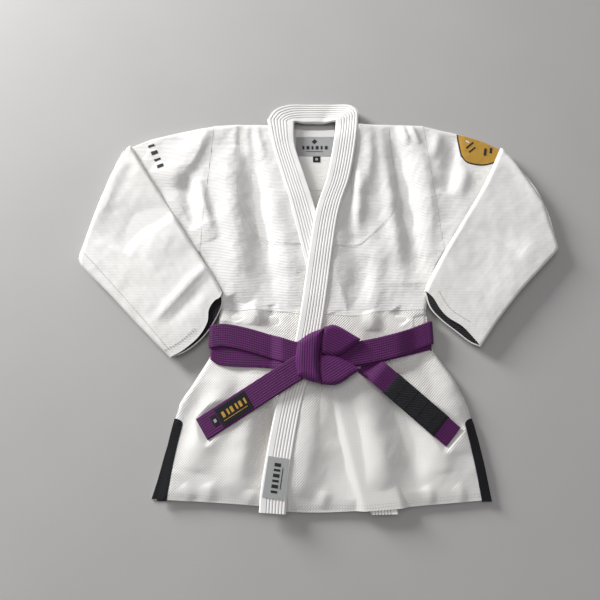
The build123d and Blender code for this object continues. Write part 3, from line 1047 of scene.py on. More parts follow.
@dataclass
class Fronts:
    """Both fronts with their skirts and chest patches.

    Attributes:
        thickness: thickness of the cloth.
    """

    finishes: Finishes
    thickness: float = CLOTH

    def ply(
        self, name: str, node: str, slot: str, plan: Grid, over: bool
    ) -> Piece:
        """One front panel.

        Args:
            name: name of the piece.
            node: CAD node it stands for.
            slot: material slot.
            plan: its plan grid.
            over: whether it is lapped over.

        Returns:
            The piece.
        """
        z = Lay.front(plan[..., 0], plan[..., 1], over)
        cloth = self.finishes.diamond if slot == "skirt_cloth" else self.finishes.pearl
        piece = Ply.make(name, with_height(plan, z), self.thickness, cloth, flat=plan)
        return settle(piece, Body.JACKET, slot, node)

    def build(self) -> list[Piece]:
        """Make both fronts and both skirts.

        Returns:
            The pieces.
        """
        right_waist = ((-188, -45), (-100, -47), (-40, -52), (6, -52))
        left_waist = ((-30, -54), (30, -56), (60, -58), (84, -55), (118, -47), (198, -45))
        right = coons(
            right_waist,
            ((6, -52), (-37, 145), (-59, 223), (-80, 297), (-92, 344)),
            ((-215, 347.5), (-150, 350), (-92, 344)),
            ((-188, -45), (-200, -10), (-222, 42), (-231, 64), (-224, 160), (-215, 347.5)),
            150,
            110,
            0.35,
        )
        left = coons(
            left_waist,
            ((198, -45), (207, -10), (226, 40), (241, 65), (228, 160), (216, 347.5)),
            ((62, 350), (120, 350.5), (216, 347.5)),
            ((-30, -54), (4, 134), (30, 223), (48, 300), (62, 350)),
            150,
            110,
            0.35,
        )
        right_skirt = coons(
            ((-279, -373), (-156, -380), (-40, -387), (96, -388)),
            ((96, -388), (60, -255), (26, -120), (6, -52.4)),
            ((-188, -45.4), (-100, -47.4), (-40, -52.4), (6, -52.4)),
            (
                (-279, -373), (-270, -300), (-259, -244), (-252, -215), (-230, -180), (-197, -122),
                (-190, -80), (-188, -45.4),
            ),
            150,
            130,
            0.35,
        )
        left_skirt = coons(
            ((-74, -391), (-8, -394), (60, -391), (130, -386), (286, -374)),
            (
                (286, -374), (276, -300), (265, -244), (258, -214), (238, -170), (206, -122), (199, -80),
                (198, -45.4),
            ),
            ((-30, -54.4), (30, -56.4), (60, -58.4), (84, -55.4), (118, -47.4), (198, -45.4)),
            ((-74, -391), (-69, -339), (-47, -211), (-30, -91), (-30, -54.4)),
            150,
            130,
            0.35,
        )
        return [
            self.ply("right_front", "right_front_panel", "body_cloth", right, False),
            self.ply("left_front", "left_front_panel", "body_cloth", left, True),
            self.ply("right_skirt", "right_front_skirt", "skirt_cloth", right_skirt, False),
            self.ply("left_skirt", "left_front_skirt", "skirt_cloth", left_skirt, True),
        ]

    def chest_patches(self) -> list[Piece]:
        """Second plies beside the collar, sewn close to the fronts.

        Returns:
            Both pieces.
        """
        right = coons(
            ((-125, 108), (-85, 88), (-18, 86)),
            ((-18, 86), (-39, 145), (-61, 223), (-82, 297), (-92, 335)),
            ((-160, 338), (-125, 339), (-92, 335)),
            ((-125, 108), (-160, 190), (-160, 338)),
            70,
            44,
        )
        left = coons(
            ((-2, 84), (68, 82), (105, 108)),
            ((105, 108), (142, 150), (153, 200), (145, 338)),
            ((60, 338), (100, 340), (145, 338)),
            ((-2, 84), (12, 134), (38, 223), (60, 338)),
            70,
            44,
        )
        made = []
        cases = (("right", right, False, (0.14, 0.25)), ("left", left, True, (0.16, 0.256)))
        for side, plan, over, size in cases:
            z = Lay.front(plan[..., 0], plan[..., 1], over) + 1.05
            name = f"{side}_chest_patch"
            piece = Ply.make(name, with_height(plan, z), 0.55, self.finishes.pearl, flat=plan)
            made.append(settle(piece, Body.JACKET, "body_cloth", f"{side}_chest_reinforcement"))
        return made


# ---------------------------------------------------------------- collar


@dataclass
class Collar:
    """Stitched collar band: over lapel, under lapel and the piece behind the neck.

    Attributes:
        height: thickness of the band.
        rows: stitch rows along the band.
        groove: depth of a stitch row.
        smooth_part: share of the width left smooth along the inner edge.
    """

    finishes: Finishes
    height: float = 6.5
    rows: int = 6
    groove: float = 1.15
    smooth_part: float = 0.27

    def profile(self, share: Grid) -> Grid:
        """Relief across the band.

        Args:
            share: 0 at the inner edge to 1 at the outer edge.

        Returns:
            Height over the band's underside.
        """
        edge = np.minimum(share, 1 - share) * BAND_WIDTH
        body = self.height * (0.35 + 0.65 * rounded(edge + 0.05, 3.2))
        stitched = np.clip((share - self.smooth_part) / (0.96 - self.smooth_part), 0, 1)
        wave = 0.5 + 0.5 * np.cos(2 * np.pi * stitched * self.rows)
        inside = (share > self.smooth_part - 0.02) & (share < 0.97)
        return body - np.where(inside, self.groove * wave**5, 0.0)

    def band(
        self, name: str, inner: Points, outer: Points, low: Grid | float, nodes: tuple[str, ...],
        rows: int = 200,
    ) -> Piece:
        """One stretch of the band between its two edges.

        Args:
            name: name of the piece.
            inner: inner edge.
            outer: outer edge.
            low: height of its underside, one for all or one for each row.
            nodes: CAD nodes it stands for.
            rows: points along the band.

        Returns:
            The piece.
        """
        columns = 85
        share = np.linspace(0, 1, columns)
        a, b = smooth_line(inner, rows), smooth_line(outer, rows)
        plan = a[:, None] * (1 - share)[None, :, None] + b[:, None] * share[None, :, None]
        base = np.broadcast_to(np.asarray(low, float).reshape(-1, 1), plan.shape[:2])
        bend = 0.5 * ripple(plan[..., 0], plan[..., 1], 55, 21.0)
        top = with_height(plan, base + self.profile(share)[None] + np.maximum(bend, -0.3))
        bottom = with_height(
            plan, base + 0.45 * (1 - rounded(np.minimum(share, 1 - share) * BAND_WIDTH, 3.0))[None]
        )
        step = np.linalg.norm(np.diff((a + b) / 2, axis=0), axis=1)
        run = np.concatenate([[0], np.cumsum(step)])
        pattern = np.stack(np.broadcast_arrays(share[None] * BAND_WIDTH, run[:, None]), axis=-1).astype(float)
        piece = Ply.between(name, top[:, ::-1], bottom[:, ::-1], self.finishes.lapel, flat=pattern[:, ::-1])
        LOG.info("collar band %s is %.0f mm long", name, run[-1])
        return settle(piece, Body.JACKET, "collar_cloth", *nodes)

    def build(self) -> list[Piece]:
        """Make the three stretches of the band.

        Returns:
            The pieces.
        """
        rows = 240
        y = np.linspace(0, 1, rows)
        over_low = np.where(y > 0.93, 17.8 - 5.0 * ease((y - 0.93) / 0.07), 17.8)
        over = self.band(
            "over_lapel",
            (
                (-106.5, -391), (-102, -339), (-78.5, -211), (-44.5, -91), (-10.5, 134), (15.5, 223),
                (32, 315), (36, 352),
            ),
            ((-61, -394), (-56, -339), (-33, -211), (1, -91), (35.5, 134), (61.5, 223), (76, 300), (84, 372)),
            over_low,
            ("left_lapel_cover", "left_lapel_neck_cover", "left_lapel_core"),
            rows,
        )
        under = self.band(
            "under_lapel",
            ((127, -395), (60, -120), (53, -95), (-4, 145), (-26, 223), (-47.5, 297), (-50, 352)),
            ((81, -396), (14, -112), (7, -104), (-50, 145), (-72, 223), (-93, 297), (-106, 358)),
            10.9,
            ("right_lapel_cover", "right_lapel_core"),
        )
        share = np.linspace(0, 1, 120)
        low = 3.7 + 9.1 * ease((share - 0.66) / 0.34) + 7.2 * ease((0.26 - share) / 0.26)
        neck = self.band(
            "neck_collar",
            ((-50, 351.6), (-44, 353.5), (-10, 353.6), (30, 353.3), (36, 351.6)),
            ((-106, 357.6), (-92, 384), (-64, 398.4), (-10, 399.2), (56, 396.5), (78, 384), (84, 371.6)),
            low,
            ("neck_collar_cover", "neck_collar_core"),
            120,
        )
        return [over, under, neck]


# ---------------------------------------------------------------- sleeves


@dataclass
class Sleeve:
    """One sleeve: upper part flat on the floor, forearm turned back over it.

    Attributes:
        side: "right" or "left".
        shoulder: top edge from the armhole to the fold.
        underarm: lower edge from the armhole to the fold.
        crease: fold line from the top edge to the underarm.
        inner: edge of the forearm that lies over the front, from the fold to the cuff.
        outer: edge of the forearm that lies outside, from the fold to the cuff.
        armhole: middle point of the armhole seam.
        cuff_top: mouth of the cuff in its upper ply, from inner to outer edge.
        cuff_low: mouth of the cuff in its lower ply.
        folds: folds of the forearm's upper ply.
        body: body that the forearm rides on.
        fullness: height of the forearm's upper ply over its lower one.
        fold_radius: radius of the rounding beside the fold.
        low_ply: middle height of the forearm's lower ply.
        floor_ply: middle height of the ply on the floor.
        thickness: thickness of the cloth.
    """

    finishes: Finishes
    side: str
    body: Body
    shoulder: Points
    underarm: Points
    crease: Points
    inner: Points
    outer: Points
    armhole: tuple[float, float]
    cuff_top: Points
    cuff_low: Points
    folds: tuple[Fold, ...]
    fullness: float = 7.6
    fold_radius: float = 10.0
    low_ply: float = 14.2
    floor_ply: float = 1.05
    thickness: float = CLOTH

    def tube(self, upper: Grid, lower: Grid) -> Grid:
        """Join an upper and a lower ply into one loop of columns.

        Args:
            upper: rows x columns grid of the upper ply.
            lower: the same of the lower ply.

        Returns:
            The looped grid.
        """
        return np.concatenate([upper, lower[:, ::-1][:, 1:-1]], axis=1)

    def upper_part(self) -> Piece:
        """Sleeve from the armhole to the fold.

        Returns:
            The piece.
        """
        start = (self.underarm[0], self.armhole, self.shoulder[0])
        plan = coons(self.underarm, self.crease[::-1], self.shoulder, start, 100, 90, 0.4)
        x, y = plan[..., 0], plan[..., 1]
        fold_gap = gap_to_line(self.crease, x, y)
        pressed = Lay.under_mid + 0.4 * outside((*self.crease, *self.inner[::-1]), x, y)
        z_top = np.minimum(Lay.front(x, y, self.side == "left"), pressed)
        closed = rounded(fold_gap, self.fold_radius)
        z_top = np.where(fold_gap < 40, np.minimum(z_top, Lay.under_mid), z_top)
        z_top = np.maximum(z_top, Lay.under_mid - 8.8 * closed)
        rim = np.minimum(gap_to_line(self.shoulder, x, y), gap_to_line(self.underarm, x, y))
        z_top = np.where(rim < 1.2, np.minimum(z_top, 3.2), z_top)
        z_low = 11.2 - (11.2 - self.floor_ply) * closed
        z_low = np.maximum(np.minimum(z_low, z_top - 0.7), self.floor_ply)
        top, low, across = (
            grid.transpose(1, 0, 2) for grid in (with_height(plan, z_top), with_height(plan, z_low), plan)
        )
        loop, flat = self.tube(top, low), self.tube(across, across)
        name = f"{self.side}_upper_sleeve_cloth"
        piece = Ply.make(name, loop, self.thickness, self.finishes.pearl, around=True, flat=flat)
        return settle(piece, Body.JACKET, "body_cloth", f"{self.side}_upper_sleeve")

    def forearm_top(self, x: Grid, y: Grid) -> Grid:
        """Middle height of the forearm's upper ply.

        Args:
            x: x of the points.
            y: y of the points.

        Returns:
            The height at each point.
        """
        wave = sum(fold.rise(x, y) for fold in self.folds)
        wave = wave + 0.7 * ripple(x, y, 55, 31.0) + 0.25 * ripple(x, y, 18, 33.0)
        z = np.clip(self.low_ply + self.fullness + wave, 16.6, 24.6)
        closed = rounded(gap_to_line(self.crease, x, y), self.fold_radius)
        sides = rounded(np.minimum(gap_to_line(self.inner, x, y), gap_to_line(self.outer, x, y)) + 0.01, 6.0)
        return 14.3 + (z - 14.3) * closed * sides

    def forearm_plans(self) -> tuple[Grid, Grid]:
        """Plan grids of the forearm's upper and lower ply."""
        grids = []
        for mouth in (self.cuff_top, self.cuff_low):
            inner = (*self.inner[:-1], mouth[0])
            outer = (*self.outer[:-1], mouth[-1])
            grids.append(coons(self.crease, outer, mouth, inner, 120, 80, 0.4))
        return grids[0], grids[1]

    def forearm(self) -> Piece:
        """Forearm from the fold to the cuff.

        Returns:
            The piece.
        """
        upper, lower = self.forearm_plans()
        z = self.forearm_top(upper[..., 0], upper[..., 1])
        mouth = gap_to_line(self.cuff_top, upper[..., 0], upper[..., 1])
        z = z - (z - 17.2) * 0.35 * np.exp(-((mouth / 22) ** 2))
        side_columns = np.minimum(np.arange(80), np.arange(80)[::-1])[None]
        z = np.where(side_columns == 0, 14.25, z)
        loop, flat = self.tube(
            with_height(upper, z), with_height(lower, self.low_ply)
        ), self.tube(upper, lower)
        if self.side == "left":
            loop, flat = loop[:, ::-1], flat[:, ::-1]
        name = f"{self.side}_forearm_cloth"
        piece = Ply.make(name, loop, self.thickness, self.finishes.sleeve, around=True, flat=flat)
        return settle(piece, self.body, "body_cloth", f"{self.side}_forearm_sleeve")

    def cuff_tape(self) -> Piece:
        """Black tape sewn along the inside of the lower mouth edge.

        Returns:
            The piece.
        """
        edge = smooth_line(self.cuff_low, 60)
        inward = np.array(self.inner[0]) + np.array(self.outer[0]) - edge[0] - edge[-1]
        inward = inward / np.linalg.norm(inward)
        rows = np.array([0.02, 0.25, 0.5, 0.75, 1.0]) * 40.0
        plan = edge[None] + rows[:, None, None] * inward
        middle = edge.mean(axis=0)
        plan = middle + (plan - middle) * 0.97
        z = 15.5 + 0.2 * np.sin(np.linspace(0, 9, len(edge)))[None] * np.ones((len(rows), 1))
        grid = with_height(plan + 0.9 * inward, z)
        if self.side == "right":
            grid = grid[:, ::-1]
        piece = Ply.make(f"{self.side}_cuff_lining_tape", grid, 0.7, self.finishes.black)
        return settle(piece, self.body, "black_cotton", f"{self.side}_cuff_tape")

    def build(self) -> list[Piece]:
        """Make the sleeve's pieces."""
        return [self.upper_part(), self.forearm(), self.cuff_tape()]


def sleeves(finishes: Finishes) -> list[Sleeve]:
    """Both sleeves with their sizes.

    Args:
        finishes: the finishes.

    Returns:
        Right and left sleeve.
    """
    right = Sleeve(
        finishes,
        "right",
        Body.RIGHT_FOREARM,
        shoulder=((-215.2, 347.5), (-285, 332), (-345, 315), (-384, 297)),
        underarm=((-231, 64), (-340, 62), (-459.5, 58)),
        crease=((-384, 297), (-404, 262), (-434, 164), (-459.5, 58)),
        inner=((-384, 297), (-338, 225), (-289, 150), (-250, 90), (-205, 24), (-184, -12)),
        outer=((-459.5, 58), (-452, 40), (-395, -14), (-333, -76), (-272, -134)),
        armhole=(-224, 160),
        cuff_top=(
            (-184, -12), (-186, -22), (-197, -30), (-206, -46), (-208, -70), (-222, -96), (-248, -120),
            (-272, -134),
        ),
        cuff_low=((-184, -12), (-183, -36), (-196, -68), (-216, -98), (-244, -122), (-272, -134)),
        folds=(
            Fold(((-276, 160), (-312, 134), (-341, 119), (-362, 96), (-376, 66)), -7.5, 11, 50),
            Fold(((-388, 262), (-412, 200), (-436, 110)), 4.2, 14, 26),
            Fold(((-262, 112), (-306, 84), (-340, 60)), 2.8, 34, 30),
            Fold(((-208, 45), (-250, -4), (-300, -64)), 3.6, 6, 10),
            Fold(((-200, 22), (-238, -24), (-284, -78)), -2.8, 14, 9),
            Fold(((-420, 40), (-370, -4), (-310, -70)), -1.6, 10, 10),
        ),
    )
    left = Sleeve(
        finishes,
        "left",
        Body.LEFT_FOREARM,
        shoulder=((216.2, 347.5), (280, 330), (330, 314), (371, 292)),
        underarm=((241, 65), (340, 74), (457, 76)),
        crease=((371, 292), (398, 250), (440, 168), (457, 76)),
        inner=((371, 292), (331, 213), (285, 139), (240, 70), (206, 12), (196, -10)),
        outer=((457, 76), (446, 62), (375, -9), (326, -66), (290, -114)),
        armhole=(228, 160),
        cuff_top=((196, -10), (210, -24), (222, -46), (236, -62), (262, -80), (290, -114)),
        cuff_low=((196, -10), (203, -40), (222, -64), (250, -88), (272, -106), (290, -114)),
        folds=(
            Fold(((268, 132), (306, 117), (334, 103), (384, 62)), -4.2, 30, 12),
            Fold(((330, 120), (300, 60), (280, -10)), -2.0, 30, 30),
            Fold(((378, 270), (410, 215), (436, 150)), 2.6, 22, 12),
            Fold(((300, 190), (262, 120), (230, 60)), 2.6, 9, 12),
            Fold(((420, 80), (370, 20), (310, -60)), 2.4, 26, 26),
        ),
    )
    return [right, left]


# ---------------------------------------------------------------- belt


@dataclass
class Belt:
    """Belt: two wraps round the waist, the knot and two hanging tails.

    Attributes:
        width: width of the strap.
        thickness: thickness of the strap.
        right_end: where the turns come round on the wearer's right.
        left_end: where they come round on the wearer's left.
        front_level: underside of the inner turn in front.
        back_level: top of the inner turn behind.
        lapel_rise: how far the turns climb over the lapels.
        end_bulge: how far the ends reach over half the height between the turns.
        ply_step: step from the inner turn to the outer one.
        knot_level: underside of the knot.
    """

    finishes: Finishes
    right_end: float = -197.0
    left_end: float = 198.3
    front_level: float = 13.2
    back_level: float = 8.3
    lapel_rise: float = 11.5
    end_bulge: float = 2.45
    ply_step: float = 4.3
    knot_level: float = 33.4
    width: float = BELT_WIDTH
    thickness: float = 4.0
    right_tail: Points = ((-64.0, -168.0), (-209.0, -259.0))
    left_tail: Points = ((104.0, -166.0), (228.0, -271.5))

    def across(self, count: int = 17) -> Grid:
        """Shares over the width, closer together at the edges."""
        return 0.5 - 0.5 * np.cos(np.pi * np.linspace(0, 1, count))

    def strap(self, name: str, low_edge: Grid, high_edge: Grid, around: bool = False) -> Piece:
        """Strap between two edges in space.

        Args:
            name: name of the piece.
            low_edge: points along one edge.
            high_edge: points along the other edge.
            around: whether the strap closes on itself.

        Returns:
            The piece, not yet fastened.
        """
        share = self.across()
        grid = low_edge[None] * (1 - share)[:, None, None] + high_edge[None] * share[:, None, None]
        middle = (low_edge + high_edge) / 2
        run = np.concatenate([[0], np.cumsum(np.linalg.norm(np.diff(middle, axis=0), axis=1))])
        flat = np.stack(np.broadcast_arrays(share[:, None] * self.width, run[None]), axis=-1).astype(float)
        edge = np.minimum(share, 1 - share) * self.width
        thick = self.thickness * (0.25 + 0.75 * rounded(edge, 1.8))[:, None] * np.ones((1, len(run)))
        LOG.info("strap %s is %.0f mm long", name, run[-1])
        return Ply.make(name, grid, thick, self.finishes.belt, around=around, flat=flat)

    def wrap(self, level: int, top_front: Points, top_back: Points, name: str, node: str) -> Piece:
        """One turn round the waist.

        Args:
            level: 0 for the inner turn, 1 for the outer one.
            top_front: upper edge in front, from the right side to the left.
            top_back: upper edge behind, from the right side to the left.
            name: name of the piece.
            node: CAD node it stands for.

        Returns:
            The piece.
        """
        off = level * self.ply_step + self.thickness / 2
        front_x = np.linspace(self.right_end, self.left_end, 170)
        climb = ease((front_x + 92) / 26) * ease((176 - front_x) / 44)
        front_z = self.front_level + off + self.lapel_rise * climb
        centre_z, tall = (self.front_level + self.back_level) / 2, self.end_bulge + off
        turn = np.linspace(np.pi / 2, -np.pi / 2, 15)[1:-1]
        left_x, left_z = self.left_end + off * np.cos(turn), centre_z + tall * np.sin(turn)
        back_x = np.linspace(self.left_end, self.right_end, 60)
        back_z = np.full(60, self.back_level - off)
        right_x, right_z = self.right_end - off * np.cos(turn), centre_z - tall * np.sin(turn)
        x = np.concatenate([front_x, left_x, back_x, right_x])
        z = np.concatenate([front_z, left_z, back_z, right_z])
        front_line, back_line = smooth_line(top_front, 200), smooth_line(top_back, 40)
        in_front = np.concatenate(
            [np.ones(170), 0.5 + 0.5 * np.sin(turn), np.zeros(60), 0.5 - 0.5 * np.sin(turn)]
        )
        y_front = np.interp(x, front_line[:, 0], front_line[:, 1])
        y_back = np.interp(x, back_line[:, 0], back_line[:, 1])
        y = y_back + (y_front - y_back) * in_front
        wave = 0.5 * np.sin(x / 37.0 + level)
        high = np.stack([x, y, z], axis=1)
        low = np.stack([x, y - self.width, z - 0.3 * in_front], axis=1)
        low[:, 1] += wave * in_front
        piece = self.strap(name, low, high, around=True)
        return settle(piece, Body.JACKET, "belt_cotton", node)

    def lobe(self, name: str, high: float, grain: float, radius: float, tilt: Spot, *sides: Points) -> Piece:
        """One padded fold of the knot.

        Args:
            name: name of the piece.
            high: height of its crown.
            grain: direction of the strap in degrees.
            radius: radius of its rounded rim.
            tilt: rise of the crown per millimetre along x and y.
            sides: lower, right, upper and left edge.

        Returns:
            The piece, not yet fastened.
        """
        plan = coons(*sides, 60, 60, 0.5)
        x, y = plan[..., 0], plan[..., 1]
        outline = (*sides[0], *sides[1][1:], *sides[2][::-1][1:], *sides[3][::-1][1:-1])
        smooth = [gap_to_line(tuple(map(tuple, smooth_line(s, 12))), x, y) for s in sides]
        gap = np.min(smooth, axis=0)
        centre = np.mean(np.array(outline), axis=0)
        crown = high + tilt[0] * (x - centre[0]) + tilt[1] * (y - centre[1])
        z = self.knot_level + (crown - self.knot_level) * (0.3 + 0.7 * rounded(gap + 0.01, radius))
        turn = math.radians(grain)
        u = -(x - centre[0]) * math.sin(turn) + (y - centre[1]) * math.cos(turn)
        v = (x - centre[0]) * math.cos(turn) + (y - centre[1]) * math.sin(turn)
        top, under = with_height(plan, z), with_height(plan, self.knot_level)
        return Ply.between(name, top, under, self.finishes.knot, flat=np.stack([u, v], axis=-1))

    def knot(self) -> list[Piece]:
        """Square knot: front band, two folded lobes and the roots of the tails.

        Returns:
            The pieces.
        """
        lobes = (
            (
                *("knot_band", 47.6, 88.0, 13.0, (0.05, 0.0)),
                ((-42, -167), (-24, -176), (-1, -182)),
                ((-1, -182), (-5, -132), (6, -83)),
                ((-42, -108), (-20, -93), (6, -83)),
                ((-42, -167), (-46, -139), (-42, -108)),
            ),
            (
                *("knot_upper_lobe", 43.4, -27.0, 9.0, (-0.02, 0.08)),
                ((0, -130), (29, -133), (65, -110)),
                ((65, -110), (69, -104), (68, -102)),
                ((4, -82), (27, -79), (68, -102)),
                ((0, -130), (-2, -106), (4, -82)),
            ),
            (
                *("knot_lower_lobe", 41.6, 32.0, 9.0, (-0.02, -0.04)),
                ((-2, -183), (29, -182), (66, -158)),
                ((66, -158), (67, -156), (66, -155)),
                ((-4, -132), (26, -134), (66, -155)),
                ((-2, -183), (-6, -158), (-4, -132)),
            ),
        )
        pieces = [self.lobe(*row) for row in lobes] + self.roots()
        for index, piece in enumerate(pieces):
            nodes = ("belt_knot",) if index == 0 else ()
            settle(piece, Body.JACKET, "belt_cotton", *nodes)
        return pieces

    def roots(self) -> list[Piece]:
        """Short runs of strap between the knot and the two hanging tails."""
        made = []
        for name, ends, heights in (
            ("right_tail_root", ((-28.0, -146.0), (-64.3, -168.2)), (34.6, 33.55)),
            ("left_tail_root", ((78.0, -143.5), (104.3, -166.25)), (21.6, 33.55)),
        ):
            a, b = np.array(ends[0]), np.array(ends[1])
            along = (b - a) / np.linalg.norm(b - a)
            side = np.array([-along[1], along[0]]) * self.width / 2
            t = np.linspace(0, 1, 14)
            line = a + (b - a) * t[:, None]
            z = heights[0] + (heights[1] - heights[0]) * ease((t - 0.15) / 0.8)
            edges = [np.concatenate([line + s * side, z[:, None]], axis=1) for s in (-1, 1)]
            made.append(self.strap(name, edges[0], edges[1]))
        return made

    def tail_line(
        self, run: Points, begin: float, end: float, lift: float, width: float, count: int = 40
    ) -> tuple[Grid, Grid]:
        """Both edges of a stretch of tail.

        Args:
            run: start and end of the tail.
            begin: distance of the stretch's start from the root.
            end: distance of its end.
            lift: height over the tail's underside.
            width: width of the stretch.
            count: points along it.

        Returns:
            The two edges.
        """
        a, b = np.array(run[0]), np.array(run[1])
        length = np.linalg.norm(b - a)
        along = (b - a) / length
        side = np.array([-along[1], along[0]]) * width / 2
        s = np.linspace(begin, end, count)
        line = a + along * s[:, None]
        z = 31.5 - 18.3 * s / length + lift
        edges = [np.concatenate([line + k * side, z[:, None]], axis=1) for k in (-1, 1)]
        return edges[0], edges[1]

    def tails(self) -> list[Piece]:
        """Both hanging ends.

        Returns:
            The pieces.
        """
        made = []
        for body, run, end in (
            (Body.RIGHT_TAIL, self.right_tail, 171.2), (Body.LEFT_TAIL, self.left_tail, 162.8)
        ):
            side = "right" if body is Body.RIGHT_TAIL else "left"
            piece = self.strap(f"{side}_tail_strap", *self.tail_line(run, 0.0, end, 2.05, self.width))
            made.append(settle(piece, body, "belt_cotton", f"belt_{side}_tail"))
        return made

    def on_tail(
        self, body: Body, name: str, along: Spot, levels: Spot, width: float, shift: float,
        material: Material, slot: str, *nodes: str,
    ) -> Piece:
        """Flat piece sewn on a tail.

        Args:
            body: the tail.
            name: name of the piece.
            along: distances of its start and end from the root.
            levels: its underside and its top over the tail's underside.
            width: its width across the tail.
            shift: its shift across the tail.
            material: its finish.
            slot: its material slot.
            nodes: CAD nodes it stands for.

        Returns:
            The piece.
        """
        run = self.left_tail if body is Body.LEFT_TAIL else self.right_tail
        (begin, end), (low, high) = along, levels
        a, b = self.tail_line(run, begin, end, 0.0, width, 24)
        side = (b - a) / width
        a, b = a + side * shift, b + side * shift
        share = self.across(15)
        grid = a[None] * (1 - share)[:, None, None] + b[None] * share[:, None, None]
        edge = np.minimum(share, 1 - share)[:, None] * width
        ends = np.minimum(np.arange(24), np.arange(24)[::-1])[None] * (end - begin) / 23
        soft = 0.35 + 0.65 * rounded(np.minimum(edge, ends), min(1.4, width / 5))
        top, under = grid.copy(), grid.copy()
        top[..., 2] += (low + high) / 2 + (high - low) / 2 * soft
        under[..., 2] += (low + high) / 2 - (high - low) / 2 * soft
        return settle(Ply.between(name, top, under, material), body, slot, *nodes)

    def trims(self) -> list[Piece]:
        """Rank bar, label and size tag with their plain marks.

        Returns:
            The pieces.
        """
        black, ink, gold = self.finishes.black, self.finishes.ink, self.finishes.gold
        left, right, cotton, thread = Body.LEFT_TAIL, Body.RIGHT_TAIL, "black_cotton", "gold_thread"
        rows = [(left, "rank_bar", (20, 138), (-0.85, 4.95), 43.8, 0, black, cotton, "belt_rank_bar")]
        for i in range(4):
            along = (42 + 24 * i, 43.4 + 24 * i)
            rows.append((left, f"rank_bar_seam_{i}", along, (4.8, 5.35), 43.0, 0, ink, cotton))
        rows.append((right, "tail_label", (74, 136), (4.0, 4.75), 34.0, 0, black, cotton, "belt_label"))
        rows.append((right, "tail_size_tag", (138, 149), (4.0, 4.7), 18, 0, black, cotton, "belt_size_tag"))
        for i in range(6):
            begin = 80.0 + 8.6 * i
            along = (begin, begin + (5.2 if i % 2 else 3.4))
            rows.append((right, f"tail_label_bar_{i}", along, (4.75, 5.1), 10.5, -1.5, gold, thread))
        rows.append((right, "tail_label_line", (82, 130), (4.75, 5.0), 1.0, 8.5, gold, thread))
        rows.append((right, "tail_tag_mark", (141, 146), (4.7, 4.95), 6.0, 0, self.finishes.grey, thread))
        return [self.on_tail(*row) for row in rows]

    def build(self) -> list[Piece]:
        """Make the whole belt.

        Returns:
            The pieces.
        """
        outer = self.wrap(
            1,
            (
                (-200, -75), (-175, -72.5), (-134, -80.5), (-81, -96), (-43, -107.5), (10, -112), (69, -106),
                (136, -91), (200, -68),
            ),
            ((-200, -74), (205, -66)),
            "outer_wrap_strap",
            "belt_outer_wrap",
        )
        inner = self.wrap(
            0,
            (
                (-200, -96), (-177, -107), (-101, -110), (-50, -113), (10, -114), (72, -109), (133, -95),
                (200, -77),
            ),
            ((-200, -93), (205, -84)),
            "inner_wrap_strap",
            "belt_inner_wrap",
        )
        return [outer, inner, *self.knot(), *self.tails(), *self.trims()]


# ---------------------------------------------------------------- trims


class Surface(Enum):
    """Surfaces that a trim can be sewn on."""

    UNDER_FRONT = "under front"
    OVER_FRONT = "over front"
    BACK = "back"
    OVER_LAPEL = "over lapel"
    RIGHT_FOREARM = "right forearm"
    LEFT_FOREARM = "left forearm"


def moved(line: Points, dx: float, dy: float) -> Points:
    """A line moved in the plane."""
    return tuple((x + dx, y + dy) for x, y in line)


